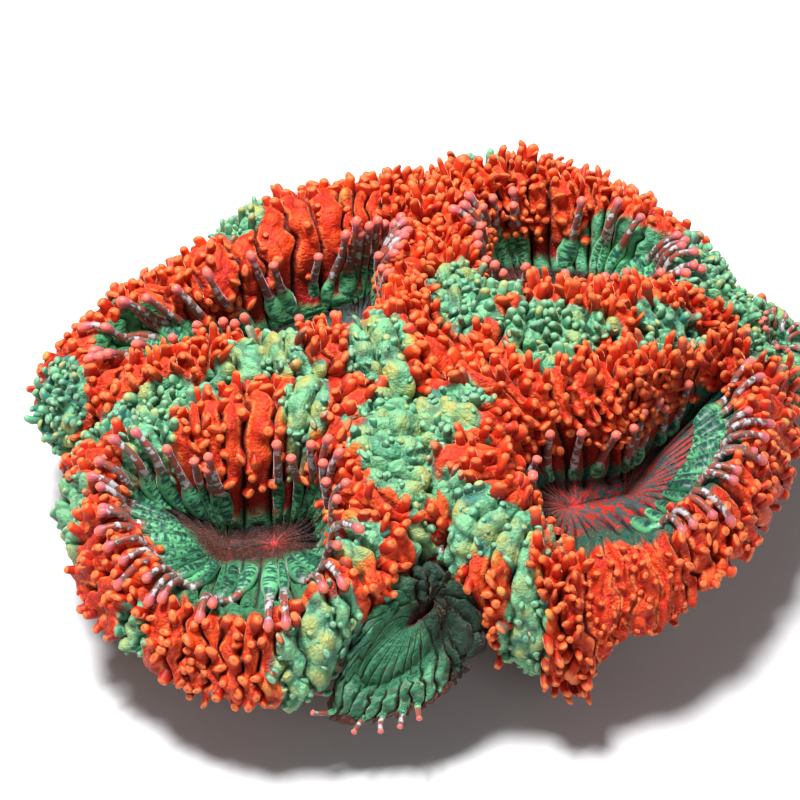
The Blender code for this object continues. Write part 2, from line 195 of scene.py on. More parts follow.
# How far apart neighbouring ribs read their own noise, and the seeds of the noises.
LANE_STEP = 3.7
SWELL_SEED = 11
ROUGH_SEED = 12
BARE_SEED = 15

# Patches on the plan, each (x, y, half width, half depth).
GREEN_PATCHES = (
    (-34.0, -1.7, 3.6, 4.6), (-24.7, -6.0, 6.2, 2.3), (-24.4, -10.4, 2.4, 3.6),
    (-13.9, -2.5, 3.2, 3.0), (-17.6, -4.6, 1.6, 1.5), (-3.1, -3.2, 3.0, 4.0),
    (-9.9, -8.8, 2.2, 4.0), (6.0, 4.2, 4.0, 4.6), (14.8, 0.9, 7.2, 2.5), (12.3, -1.4, 3.2, 3.4),
    (29.0, 15.6, 4.6, 6.0), (24.6, 3.8, 3.4, 2.8), (0.3, -10.0, 5.8, 5.0), (-1.1, -16.7, 3.4, 5.4),
    (5.2, -20.8, 7.2, 4.8), (-1.0, -29.6, 7.5, 4.6), (9.8, -28.0, 2.4, 4.4),
    (-4.4, -23.1, 2.9, 2.2), (-7.0, -30.9, 5.0, 2.8), (-32.4, -13.5, 2.2, 4.0),
    (-19.8, -33.3, 3.0, 1.6), (-25.8, -26.6, 1.8, 2.0), (6.5, 31.1, 2.4, 3.8),
    (-16.8, 18.2, 2.2, 3.2), (-29.3, 12.2, 1.6, 2.2), (14.4, -32.2, 2.2, 2.2),
    (35.2, 9.8, 6.0, 6.0), (14.3, -16.4, 1.6, 1.5),
)
RED_PATCHES = (
    (-18.7, -9.0, 1.5, 2.9), (-14.2, -7.1, 2.4, 2.0), (-5.1, -7.6, 2.4, 2.0),
    (5.1, -14.6, 1.9, 2.1), (9.3, -18.2, 2.8, 1.5), (-2.9, -20.3, 3.2, 2.1),
    (-7.8, -19.6, 1.6, 2.8), (-1.5, -23.6, 2.0, 1.8), (2.4, -19.9, 1.9, 2.2),
    (7.2, -16.6, 3.2, 1.8), (5.8, -25.2, 3.4, 3.0), (-3.0, -26.4, 2.4, 2.8), (-5.6, -8.6, 2.0, 1.6),
    (2.9, -4.4, 2.8, 3.6), (18.6, 0.0, 1.8, 1.6), (8.6, 2.6, 1.5, 1.6), (28.8, 7.6, 2.6, 2.2),
)
# Where the ribs are nearly bare, where they run together under finer ridges, where the
# fingers are few and where they stand close, where the green folds of the disc run up
# over the inner wall, and where the green tissue bears real fingers.
SMOOTH_PATCHES = ((-10.0, 15.5, 12.0, 4.6), (9.0, -1.0, 1.6, 3.0))
RIDGED_PATCHES = ((20.5, -25.0, 5.6, 5.0),)
SPARSE_PATCHES = (
    (-16.0, -28.0, 13.0, 6.0), (-30.0, -16.0, 5.0, 9.0), (27.0, -16.0, 7.0, 6.0),
    (33.0, -2.0, 6.0, 9.0), (-34.0, 4.0, 5.0, 8.0), (-15.0, -10.5, 11.0, 3.6),
)
CLOSE_PATCHES = (
    (-20.0, -0.5, 7.0, 3.6), (-8.5, 0.2, 4.0, 3.4), (17.5, 6.5, 11.0, 3.6), (2.5, 5.0, 4.5, 4.5),
    (18.0, -3.0, 9.0, 5.0), (31.0, 5.0, 5.0, 5.0), (13.0, -28.0, 5.0, 6.0), (5.0, 20.0, 8.0, 12.0),
    (16.0, 28.0, 10.0, 4.0),
)
FOLD_PATCHES = (
    (21.0, 18.0, 7.0, 7.0), (-27.0, 5.5, 5.5, 6.0), (-17.0, -25.0, 11.0, 4.5),
    (28.0, -8.0, 4.0, 11.0), (18.5, -18.5, 7.5, 4.5), (0.0, -28.0, 9.0, 8.0),
)
FRINGED_PATCHES = (
    (16.0, 2.0, 12.0, 5.0), (28.0, 12.0, 7.0, 10.0), (-33.5, -1.5, 5.0, 7.0),
    (-25.0, -6.0, 7.0, 4.0), (6.0, 30.0, 5.0, 6.0), (-18.0, 19.0, 5.0, 5.0),
)


def dome(x, y):
    """Height of the colony's general form above the cut face."""
    return DOME_TOP - DOME_SIDE_FALL * x**2 - DOME_BACK_FALL * (y - DOME_CENTRE_Y) ** 2


def smooth_step(value):
    """0 below 0 and 1 above 1, with a soft way between them."""
    value = np.clip(value, 0.0, 1.0)
    return value * value * (3.0 - 2.0 * value)


def smooth_ring(values, passes):
    """Running average round a closed list."""
    for _ in range(passes):
        values = 0.25 * np.roll(values, 1, 0) + 0.5 * values + 0.25 * np.roll(values, -1, 0)
    return values


def run_length(line):
    """Length along a line of points, from 0 at its start."""
    return np.concatenate([[0.0], np.cumsum(np.linalg.norm(np.diff(line, axis=0), axis=1))])


def closed_curve(points, count):
    """Smooth closed curve through points, read at equal steps of length."""
    knots = np.array(points, dtype=float)
    before = np.roll(knots, 1, axis=0)
    after = np.roll(knots, -1, axis=0)
    beyond = np.roll(knots, -2, axis=0)
    f = np.linspace(0.0, 1.0, KNOT_STEPS, endpoint=False)[None, :, None]
    tangent_a = (after - before)[:, None, :] * 0.5
    tangent_b = (beyond - knots)[:, None, :] * 0.5
    dense = (
        (2 * f**3 - 3 * f**2 + 1) * knots[:, None, :]
        + (f**3 - 2 * f**2 + f) * tangent_a
        + (3 * f**2 - 2 * f**3) * after[:, None, :]
        + (f**3 - f**2) * tangent_b
    ).reshape(-1, knots.shape[1])
    ring = np.vstack([dense, dense[:1]])
    length = run_length(ring[:, :2])
    wanted = np.linspace(0.0, length[-1], count, endpoint=False)
    return np.stack([np.interp(wanted, length, ring[:, k]) for k in range(ring.shape[1])], 1)


LATTICE_PRIMES = np.array([374761393, 668265263, 2147483647])
SEED_PRIME = 974634777
MIX_PRIME = 1274126177


def soft_noise(x, y, z, seed):
    """Smooth noise between -1 and 1 on a lattice with a step of 1."""
    place = np.stack(np.broadcast_arrays(x, y, z), -1).astype(float)
    cell = np.floor(place).astype(np.int64)
    part = smooth_step(place - cell)
    total = 0.0
    for corner in range(8):
        bits = np.array([corner & 1, corner >> 1 & 1, corner >> 2])
        at = cell + bits
        mixed = (at * LATTICE_PRIMES).sum(-1) + seed * SEED_PRIME
        mixed = (mixed ^ (mixed >> 13)) * MIX_PRIME & 0x7FFFFFFF
        mixed = mixed ^ (mixed >> 16)
        value = (mixed & 0xFFFF) / 32767.5 - 1.0
        total = total + value * np.prod(np.where(bits == 1, part, 1.0 - part), axis=-1)
    return total


def within(x, y, patches):
    """How far inside the nearest patch a place is: 1 at its middle, 0 at its edge."""
    best = np.full(np.shape(x), -1.0)
    for px, py, half_x, half_y in patches:
        best = np.maximum(best, 1.0 - np.hypot((x - px) / half_x, (y - py) / half_y))
    return best


def share_in(x, y, patches, softness, start=0.5):
    """How much of the tissue at a place belongs to some patches with soft edges."""
    return smooth_step(within(x, y, patches) / softness + start)


def greenness(x, y):
    """Share of green tissue at a place on the plan."""
    field = within(x, y, GREEN_PATCHES) - 1.4 * np.maximum(within(x, y, RED_PATCHES), -0.05)
    field = field + 0.22 * soft_noise(x * 0.45, y * 0.45, 0.0, 3) + 0.16 * soft_noise(x, y, 0.0, 4)
    return smooth_step(field / 0.50 + 0.5)


def smoothness(x, y):
    """How bare the ribs are at a place on the plan."""
    return share_in(x, y, SMOOTH_PATCHES, 0.3, 0.3)


def ridging(x, y):
    """How far finer ridges take the place of the ribs."""
    return share_in(x, y, RIDGED_PATCHES, 0.4, 0.3)


def make_skin(name, curves):
    """Smooth skin of a polyp: places and outward directions by turn and station."""
    polyp = POLYPS[name]
    crest = curves[name]
    centre_a, centre_b = (np.array(end) for end in polyp["mouth"])
    slit = centre_b - centre_a
    along = np.clip((crest[:, :2] - centre_a) @ slit / (slit @ slit), 0.0, 1.0)
    foot = centre_a + smooth_ring(along, 6)[:, None] * slit
    spoke = crest[:, :2] - foot
    reach = np.linalg.norm(spoke, axis=1)
    heading = spoke / reach[:, None]
    lift, depth, roll = crest[:, 2], crest[:, 3], crest[:, 4]

    pulls = {key: BUD_PULL if key.endswith("bud") else 1.0 for key in curves}
    others = np.vstack([curve[:, :2] for key, curve in curves.items() if key != name])
    pull = np.repeat([pulls[key] for key in curves if key != name], TURN_STEPS)
    free = ROLL_BASE + ROLL_PER_HEIGHT * roll
    from_hub = np.linalg.norm(crest[:, :2] - np.array(HUB), axis=1)
    reach_out = SEAM_REACH + HUB_REACH * np.exp(-((from_hub / HUB_SPREAD) ** 2))
    furthest = SEAM_REACH + HUB_REACH + 3.0
    limit = np.full(TURN_STEPS, furthest)
    for step in np.arange(furthest, 0.0, -0.1):
        place = crest[:, :2] + heading * step
        to_other = np.min(np.linalg.norm(place[:, None] - others[None], axis=2) * pull, axis=1)
        to_own = np.min(np.linalg.norm(place[:, None] - crest[None, :, :2], axis=2), axis=1)
        to_own = to_own * pulls[name]
        limit[to_other <= to_own] = step
    rim = smooth_step((limit - reach_out) / RIM_SOFTNESS)
    if name.endswith("bud"):
        rim = np.ones(TURN_STEPS)
    width = np.minimum(limit, free + (reach_out - free) * (1.0 - rim))
    lip = crest[:, :2] + heading * width[:, None] - np.array(STUMP_CENTRE)
    outside = smooth_step((np.linalg.norm(lip / np.array(SKIRT_START), axis=1) - 0.9) / 0.2)
    width = smooth_ring(width, 5)
    under = smooth_ring(np.maximum(rim, outside), 5)
    rim = smooth_ring(rim, 5)

    wall = np.minimum(INNER_WALL_BASE + INNER_WALL_PER_DEPTH * depth, INNER_WALL_SHARE * reach)
    disc = reach - wall
    sink = depth - polyp["mouth_depth"]
    edge = reach + width
    level = np.full(TURN_STEPS, polyp["mouth_depth"])

    def blend(free_value, seam_value, share=rim):
        return seam_value + (free_value - seam_value) * share

    # Control points of the profiles, from the mouth out to the foot: how far each lies
    # from the mouth, and how high over the crest.
    controls = np.stack(
        [
            np.stack([out, up], 1)
            for out, up in (
                (0.0 * disc, -level - 0.7), (0.30 * disc, -level - 0.30 * sink),
                (0.70 * disc, -level - 0.80 * sink + 0.1),
                (disc, -depth + 0.6),
                (reach - 0.72 * wall, -0.60 * depth),
                (reach - 0.62 * wall, -0.20 * depth),
                (reach - 0.22 * wall, 0.55 + 0.0 * depth),
                (reach + 0.35 * width, 0.25 + 0.0 * depth),
                (reach + 0.80 * width, blend(-1.6, -0.5)),
                (blend(reach + 1.05 * width, edge), blend(-0.5 * roll, -2.0)),
                (blend(edge, edge + SEAM_OVERLAP, under), blend(-0.88 * roll, -5.5, under)),
                (blend(reach + 0.5 * width, edge + SEAM_OVERLAP, under), blend(-1.08 * roll, -9.0, under)),
                (blend(reach - 1.5, edge - 0.5, under), blend(-roll - 1.2, -11.5, under)),
                (np.maximum(reach - 4.0, 0.4 * reach), 0.0 * depth - polyp["foot_depth"]),
            )
        ],
        1,
    )
    ends = np.concatenate(
        [2 * controls[:, :1] - controls[:, 1:2], controls, 2 * controls[:, -1:] - controls[:, -2:-1]], 1
    )
    stations = np.arange(0.0, LAST_STATION + STATION_STEP / 2, STATION_STEP)
    first = np.minimum(stations.astype(int), controls.shape[1] - 2)
    f = stations - first
    # Weights of the four control points round each station, for the place and its slope.
    weights = [(1 - f) ** 3, 3 * f**3 - 6 * f**2 + 4, -3 * f**3 + 3 * f**2 + 3 * f + 1, f**3]
    weights = np.stack(weights) / 6
    slopes = np.stack([-((1 - f) ** 2), 3 * f**2 - 4 * f, -3 * f**2 + 2 * f + 1, f**2]) / 2
    spot = sum(weights[k][None, :, None] * ends[:, first + k] for k in range(4))
    slope = sum(slopes[k][None, :, None] * ends[:, first + k] for k in range(4))
    slope = slope / np.linalg.norm(slope, axis=2, keepdims=True)
    away = -slope[..., 1]
    flat = foot[:, None] + heading[:, None] * spot[..., :1]
    settle = smooth_step(spot[..., 0] / reach[:, None])
    height = dome(flat[..., 0], flat[..., 1]) + lift[:, None] * settle + spot[..., 1]
    return {
        "place": np.concatenate([flat, height[..., None]], 2),
        "out": np.concatenate([heading[:, None] * away[..., None], slope[..., :1]], 2),
        "rim": np.repeat(rim[:, None, None], len(stations), 1),
        "heading": np.repeat(heading[:, None, :], len(stations), 1),
        "depth": np.repeat(depth[:, None, None], len(stations), 1),
    }


def on_skin(skin, key, turn, station):
    """Value of the skin at a share of a full turn and a station."""
    row = (turn % 1.0) * TURN_STEPS
    column = np.clip(station / STATION_STEP, 0.0, skin["place"].shape[1] - 1.001)
    a = np.floor(row).astype(int)
    b = np.floor(column).astype(int)
    part_a = (row - a)[..., None]
    part_b = (column - b)[..., None]
    a = a % TURN_STEPS
    after = (a + 1) % TURN_STEPS
    values = skin[key]
    near = values[a, b] * (1 - part_b) + values[a, b + 1] * part_b
    far = values[after, b] * (1 - part_b) + values[after, b + 1] * part_b
    return near * (1 - part_a) + far * part_a


def unit(vectors):
    return vectors / np.maximum(np.linalg.norm(vectors, axis=-1, keepdims=True), 1e-9)


def to_world(places):
    """Plan millimetres to metres in the colony's frame."""
    shift = np.array([MIDDLE[0] - PLAN_CENTRE[0], MIDDLE[1] - PLAN_CENTRE[1], 0.0])
    return (places + shift) * MM


def lane_edges(count, rng, crest):
    """Shares of a turn where the grooves lie: ribs differ in width and are broad where bare."""
    widths = 1.0 + 0.30 * rng.uniform(-1.0, 1.0, count)
    widths[1::2] *= 0.74
    shares = np.concatenate([[0.0], np.cumsum(widths)]) / widths.sum()
    density = 1.0 / (1.0 + 0.4 * smoothness(crest[:, 0], crest[:, 1]))
    passed = np.concatenate([[0.0], np.cumsum(density)]) / density.sum()
    return np.interp(shares, passed, np.linspace(0.0, 1.0, len(passed)))


def rib_relief(polyp_look, lane, across, station, place):
    """Height of the ribs over the smooth skin, and how far a place is from a groove."""
    x, y = place[..., 0], place[..., 1]
    bare = smoothness(x, y)
    ridged = ridging(x, y)
    from_middle = np.abs(2.0 * across - 1.0)
    lobe = np.sqrt(np.clip(1.0 - from_middle ** (2.0 + 1.4 * bare), 0.0, 1.0))
    stations, reliefs = np.array(RIB_RELIEF).T
    relief = np.interp(station, stations, reliefs) * polyp_look["rib_height"][lane]
    bead = np.exp(-(((station - BEAD_STATION) / BEAD_LENGTH) ** 2)) * BEAD_HEIGHT
    swell = soft_noise(lane * LANE_STEP, station * 1.7, 0.0, SWELL_SEED) * 0.36
    swell = swell * smooth_step(station - 3.6)
    outer = smooth_step((station - 3.4) / 1.2)
    green = greenness(x, y) * outer
    ridges = np.cos(4.0 * math.pi * across) * (0.04 * bare + 0.26 * ridged)
    relief = relief * (1.0 - 0.45 * green) * (1.0 - 0.65 * ridged) * (1.0 + 0.25 * bare)
    swell = swell + soft_noise(lane * LANE_STEP, station * 4.4, x * 0.4, BARE_SEED) * 0.20 * bare
    total = relief * (2.0 * lobe - 1.0) + bead * (lobe - 0.35) + swell * lobe
    rough = 0.0
    for layer, (waves, height, more) in enumerate(ROUGH_LAYERS):
        noise = soft_noise(*(place * waves).transpose(2, 0, 1), ROUGH_SEED + layer)
        rough = rough + (height + more * green) * noise
    return total + (rough + ridges * lobe) * outer, lobe + (1.0 - lobe) * 0.6 * ridged * outer


def mesh_piece(name, places, faces, attributes, material):
    """Mesh object from arrays, shaded smooth, with its point attributes."""
    mesh = bpy.data.meshes.new(name)
    mesh.from_pydata(places.tolist(), [], faces)
    for key, values in attributes.items():
        kind = "FLOAT_VECTOR" if values.ndim == 2 else "FLOAT"
        layer = mesh.attributes.new(key, kind, "POINT")
        part = "vector" if values.ndim == 2 else "value"
        layer.data.foreach_set(part, values.ravel().astype(np.float32))
    mesh.shade_smooth()
    piece = bpy.data.objects.new(name, mesh)
    bpy.context.collection.objects.link(piece)
    piece.data.materials.append(material)
    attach(piece, "root")
    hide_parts("colony")
    return piece


def closed_faces(rows, columns):
    """Faces of a grid that closes round its rows, with a hub point at either end."""
    faces = []
    hub, end = rows * columns, columns - 1
    for row in range(rows):
        low, high = row * columns, (row + 1) % rows * columns
        faces += [(low + k, low + k + 1, high + k + 1, high + k) for k in range(end)]
        faces += [(hub, low, high), (hub + 1, high + end, low + end)]
    return faces


SRGB_STEP = 0.04045


def rgb(red, green, blue):
    """Linear colour of an 8-bit one."""
    shares = [value / 255 for value in (red, green, blue)]
    return tuple(v / 12.92 if v < SRGB_STEP else ((v + 0.055) / 1.055) ** 2.4 for v in shares) + (1.0,)


class Shade:
    """Short way to wire the nodes of one material."""

    def __init__(self, name):
        self.material = bpy.data.materials.new(name)
        self.material.use_nodes = True
        self.tree = self.material.node_tree
        self.shader = self.tree.nodes["Principled BSDF"]

    def node(self, kind, **settings):
        node = self.tree.nodes.new(kind)
        for key, value in settings.items():
            setattr(node, key, value)
        return node

    def feed(self, socket, value):
        if hasattr(value, "links"):
            self.tree.links.new(value, socket)
        else:
            socket.default_value = value

    def read(self, name, part="Fac"):
        return self.node("ShaderNodeAttribute", attribute_name=name).outputs[part]

    def maths(self, operation, a, b):
        node = self.node("ShaderNodeMath", operation=operation)
        self.feed(node.inputs[0], a)
        self.feed(node.inputs[1], b)
        return node.outputs[0]

    def times(self, a, b):
        return self.maths("MULTIPLY", a, b)

    def plus(self, a, b):
        return self.maths("ADD", a, b)

    def less(self, a, b):
        return self.maths("SUBTRACT", a, b)

    def step(self, value, low, high, start=0.0, end=1.0):
        """Soft step of a value from low to high."""
        node = self.node("ShaderNodeMapRange", interpolation_type="SMOOTHSTEP")
        for socket, entry in zip(node.inputs, (value, low, high, start, end)):
            self.feed(socket, entry)
        return node.outputs[0]

    def noise(self, vector, scale, detail=2.0, roughness=0.5, stretch=None):
        node = self.node("ShaderNodeTexNoise")
        if stretch:
            mapping = self.node("ShaderNodeMapping")
            self.feed(mapping.inputs["Vector"], vector)
            mapping.inputs["Scale"].default_value = stretch
            vector = mapping.outputs[0]
        settings = {"Vector": vector, "Scale": scale, "Detail": detail, "Roughness": roughness}
        for socket, value in settings.items():
            self.feed(node.inputs[socket], value)
        return node.outputs["Fac"]

    def mix(self, factor, a, b):
        """Colour a where the factor is 0 and b where it is 1."""
        node = self.node("ShaderNodeMix", data_type="RGBA")
        self.feed(node.inputs[0], factor)
        self.feed(node.inputs[6], a)
        self.feed(node.inputs[7], b)
        return node.outputs[2]

    def bump(self, height, distance, strength):
        node = self.node("ShaderNodeBump")
        for socket, value in {"Strength": strength, "Distance": distance, "Height": height}.items():
            self.feed(node.inputs[socket], value)
        self.feed(self.shader.inputs["Normal"], node.outputs[0])

    def finish(self, colour, roughness, sheen_tint, sheen, scatter=0.0):
        settings = {
            "Base Color": colour,
            "Roughness": roughness,
            "Specular IOR Level": 0.35,
            "Sheen Weight": sheen,
            "Sheen Roughness": 0.28,
            "Sheen Tint": sheen_tint,
            "Subsurface Weight": scatter,
            "Subsurface Radius": (1.0, 0.3, 0.15),
            "Subsurface Scale": 0.0006,
        }
        for socket, value in settings.items():
            self.feed(self.shader.inputs[socket], value)
        return self.material


# Several of these colours paint light and shade. The dark reds, deep greens and browns paint shade in
# grooves, clefts, under the lip and low down. The palest oranges and greens paint highlights on rib
# shoulders, mound tops and fingertips.
ORANGE = rgb(224, 50, 14)
ORANGE_PALE_AND_HIGHLIGHT = rgb(246, 84, 30)
ORANGE_HIGHLIGHT = rgb(255, 140, 76)
ORANGE_DARK = rgb(192, 30, 8)
ORANGE_LOW_SHADE = rgb(150, 22, 6)
RED_DEEP_SHADE = rgb(148, 14, 4)
RED_GROOVE_SHADE = rgb(70, 4, 3)
GREEN = rgb(76, 158, 112)
GREEN_BLUE = rgb(62, 142, 128)
GREEN_PALE_AND_HIGHLIGHT = rgb(118, 194, 146)
GREEN_HIGHLIGHT = rgb(152, 204, 160)
GREEN_GROOVE_SHADE = rgb(18, 50, 40)
GREEN_SHADE = rgb(48, 104, 78)
TEAL_DARK = rgb(14, 46, 38)
GREY_MIX = rgb(122, 100, 88)
YELLOW = rgb(196, 178, 84)
STAR_RED = rgb(232, 70, 70)
CLEFT_SHADE = rgb(14, 9, 10)
UNDERSIDE_SHADE = rgb(84, 44, 34)
BUD_GROOVE_SHADE = rgb(66, 26, 20)
BUD_PAINTED_SHADE = rgb(12, 26, 24)
SHEEN_WARM = (1.0, 0.52, 0.28, 1.0)
# Waves per metre of the colour noise, and the share at which tissue counts as green.
SPOT_WAVES = 420.0
BROAD_WAVES = 150.0
GREEN_SPLIT = (0.4, 0.7)
# Stations where the disc ends where it is deep, where its wall turns deep red with painted shade, where
# the flesh of the crest begins, and where the underside begins, dull brown as painted shade under the lip.
DEEP_MARGIN = 2.55
WALL_STATIONS = (3.9, 5.2)
CREST_START = (3.4, 3.9)
UNDERSIDE_START = 10.2
BUD_UNDERSIDE_START = 7.8

# Disc of each polyp: colours of its furrows, folds and flecks, the station up to which
# they reach before the green lobes begin, and the colour and banding of those lobes.
DISCS = {
    "right_front": (rgb(34, 16, 22), rgb(66, 84, 86), rgb(190, 46, 32), 2.1, rgb(40, 96, 78), 0.50),
    "right_back": (rgb(70, 18, 22), rgb(104, 52, 60), rgb(160, 36, 26), 1.5, rgb(96, 178, 132), 0.35),
    "left_back": (rgb(32, 30, 38), rgb(74, 70, 84), rgb(58, 104, 86), 1.3, rgb(72, 156, 100), 0.55),
    "left_front": (rgb(20, 12, 13), rgb(54, 32, 28), rgb(92, 38, 30), 1.05, rgb(58, 134, 92), 0.80),
    "front_bud": (rgb(30, 22, 30), rgb(64, 44, 56), rgb(120, 50, 44), 0.5, rgb(58, 130, 92), 0.60),
    "side_bud": (rgb(46, 52, 52), rgb(70, 120, 100), rgb(150, 50, 30), 0.8, rgb(74, 148, 108), 0.60),
}
# Heights between which painted shade darkens the tissue towards the foot.
LOW_START = 18.0 * MM
LOW_END = 5.0 * MM


def patch_colour(shade, coords, fine, spot, broad):
    """Orange tissue with green patches, greyish where they meet, and darker low down as painted shade."""
    split = shade.node("ShaderNodeSeparateXYZ")
    shade.feed(split.inputs[0], coords)
    # Painted shade: the tissue darkens towards the foot.
    low = shade.step(split.outputs[2], LOW_START, LOW_END)
    green = shade.read("green")
    ragged = shade.plus(green, shade.times(shade.less(fine, 0.5), 0.7))
    orange = shade.mix(shade.step(spot, 0.40, 0.64), ORANGE, ORANGE_PALE_AND_HIGHLIGHT)
    orange = shade.mix(shade.times(shade.step(broad, 0.48, 0.62), 0.6), orange, ORANGE_DARK)
    green_colour = shade.mix(shade.step(broad, 0.44, 0.60), GREEN, GREEN_BLUE)
    green_colour = shade.mix(shade.step(spot, 0.44, 0.64), green_colour, GREEN_PALE_AND_HIGHLIGHT)
    mottle = shade.times(shade.step(fine, 0.48, 0.64), 0.65)
    green_colour = shade.mix(mottle, green_colour, GREY_MIX)
    orange = shade.mix(shade.times(low, 0.55), orange, ORANGE_LOW_SHADE)
    green_colour = shade.mix(shade.times(low, 0.45), green_colour, GREEN_SHADE)
    halfway = shade.mix(shade.step(ragged, 0.22, 0.50), orange, GREY_MIX)
    return shade.mix(shade.step(ragged, 0.48, 0.76), halfway, green_colour), ragged


def flesh_material(name):
    """Wet flesh of one polyp: its disc, the green lobes round it, the wall and the crest, with painted
    shade in its grooves, clefts and under the lip, and painted highlights on rib shoulders and mound tops.
    """
    shade = Shade(name + "_flesh")
    along = shade.read("along", "Vector")
    station = shade.read("station")
    lobe = shade.read("lobe")
    star = shade.read("star")
    knob = shade.read("knob")
    coords = shade.node("ShaderNodeTexCoord").outputs["Object"]
    fine = shade.noise(coords, 1500.0, 3.0)
    spot = shade.noise(coords, SPOT_WAVES)
    broad = shade.noise(coords, BROAD_WAVES)
    rungs = shade.noise(along, 1.0, 2.0, 0.6, stretch=(0.8, 0.8, 5.0))
    flecks = shade.noise(along, 1.0, 2.0, 0.6, stretch=(3.6, 3.6, 2.2))

    crest, ragged = patch_colour(shade, coords, fine, spot, broad)
    is_green = shade.step(ragged, *GREEN_SPLIT)
    # Painted shade: the grooves between the ribs are near black red on orange tissue and deep green on
    # green tissue.
    groove = shade.mix(is_green, RED_GROOVE_SHADE, GREEN_GROOVE_SHADE)
    # Painted shade on the flanks of the ribs and in a ring round the flank of each mound.
    slope = shade.mix(is_green, RED_DEEP_SHADE, GREEN_SHADE)
    ring = shade.times(shade.step(knob, 0.04, 0.30), shade.step(knob, 0.70, 0.35))
    crest = shade.mix(shade.times(ring, 0.55), crest, slope)
    crest = shade.mix(shade.step(lobe, 0.45, 0.97), slope, crest)
    # The front bud's grooves get a brown painted shade of their own.
    if name == "front_bud":
        groove = BUD_GROOVE_SHADE
        narrow = 0.85
    else:
        narrow = shade.less(0.75, shade.times(is_green, 0.4))
    crest = shade.mix(shade.step(lobe, 0.05, narrow), groove, crest)
    # Painted highlight: a pale band along the shoulders of each rib, broken up by noise.
    shoulder_highlight = shade.times(shade.step(lobe, 0.55, 0.74), shade.step(lobe, 0.92, 0.80))
    shoulder_highlight = shade.times(shoulder_highlight, shade.step(fine, 0.40, 0.56, 0.1, 0.75))
    # Painted highlight: the tops of the mounds turn lighter.
    top = shade.mix(is_green, ORANGE_PALE_AND_HIGHLIGHT, GREEN_PALE_AND_HIGHLIGHT)
    crest = shade.mix(shoulder_highlight, crest, shade.mix(is_green, ORANGE_HIGHLIGHT, GREEN_PALE_AND_HIGHLIGHT))
    crest = shade.mix(shade.times(shade.step(knob, 0.25, 0.95), 0.75), crest, top)
    crest = shade.mix(shade.read("yellow"), crest, YELLOW)
    # The inner wall is deep red tissue, with painted shade that darkens it into its grooves.
    wall = shade.mix(shade.step(lobe, 0.3, 0.95), RED_GROOVE_SHADE, RED_DEEP_SHADE)
    crest = shade.mix(shade.step(station, *WALL_STATIONS), wall, crest)

    furrow, fold, fleck, edge, bead_green, banding = DISCS[name]
    bead = shade.mix(shade.step(lobe, 0.15, 0.80), TEAL_DARK, bead_green)
    dark_rungs = shade.times(shade.step(rungs, 0.42, 0.60), shade.step(lobe, 0.80, 0.98))
    bead = shade.mix(shade.times(dark_rungs, banding), bead, TEAL_DARK)

    deep = shade.read("deep")
    edge = shade.plus(shade.times(deep, DEEP_MARGIN - edge), edge)
    disc = shade.mix(shade.step(flecks, 0.48, 0.56), fold, fleck)
    fade = (2.4, 1.2) if name == "left_front" else (1.9, 0.7)
    plain = shade.maths("MAXIMUM", shade.step(lobe, 0.45, 0.95), shade.step(station, *fade))
    disc = shade.mix(plain, furrow, disc)
    # Painted shadow: a dark cleft at the foot of the green lobes where the disc is deep.
    cleft_shade = shade.times(deep, shade.step(station, 0.8, 2.2))
    disc = shade.mix(shade.times(cleft_shade, 0.85), disc, CLEFT_SHADE)
    disc = shade.mix(star, disc, STAR_RED)

    wobble = shade.plus(station, shade.times(shade.less(spot, 0.5), 0.9))
    climb = shade.less(wobble, shade.times(shade.read("fold"), 2.4))
    climb = shade.plus(climb, shade.times(deep, 0.4))
    past = shade.less(wobble, edge)
    colour = shade.mix(shade.step(past, -0.3, 0.3), disc, bead)
    colour = shade.mix(shade.step(climb, *CREST_START), colour, crest)
    # Painted shade under the lip: the underside turns dull dark brown.
    under = BUD_UNDERSIDE_START if name == "front_bud" else UNDERSIDE_START
    below = shade.step(station, under, under + 1.4)
    colour = shade.mix(below, colour, UNDERSIDE_SHADE)
    # Painted shade: the front bud darkens towards the neighbours that stand over it.
    if name == "front_bud":
        colour = shade.mix(shade.times(deep, 0.88), colour, BUD_PAINTED_SHADE)
    grain = shade.noise(coords, 4200.0, 2.0, 0.6)
    wrinkles = shade.noise(along, 1.0, 3.0, 0.6, stretch=(2.4, 2.4, 4.0))
    height = shade.times(wrinkles, shade.step(station, 0.6, 2.6, 0.2, 0.9))
    height = shade.plus(fine, height)
    height = shade.plus(height, shade.times(grain, 0.6))
    shade.bump(height, 0.00030, 1.0)
    return shade.finish(colour, 0.50, SHEEN_WARM, 0.30, 0.08)


curves = {name: closed_curve(polyp["crest"], TURN_STEPS) for name, polyp in POLYPS.items()}
skins = {name: make_skin(name, curves) for name in POLYPS}
looks = {}
for number, name in enumerate(POLYPS):
    rng = np.random.default_rng(100 + number)
    count = POLYPS[name]["ribs"]
    looks[name] = {
        "edges": lane_edges(count, rng, curves[name]),
        "rib_height": rng.uniform(0.8, 1.25, count),
        "seed": 20 + number,
    }


def drift(look, turn, station):
    """Turn of a rib that wanders a little on its way out."""
    around = 2 * math.pi * turn
    count = len(look["rib_height"])
    wander = soft_noise(np.cos(around) * 2.2, np.sin(around) * 2.2, station * 0.55, look["seed"])
    wave = soft_noise(np.cos(around) * 5.0, np.sin(around) * 5.0, station * 1.9, look["seed"] + 60)
    shift = MEANDER * wander + WAVINESS * wave * smooth_step((station - 4.0) / 1.5)
    return turn + shift / count * smooth_step((station - 1.0) / 2.0)


STAR_SIZE = 0.45
STAR_ARM = 1.9
STAR_ARMS = 13


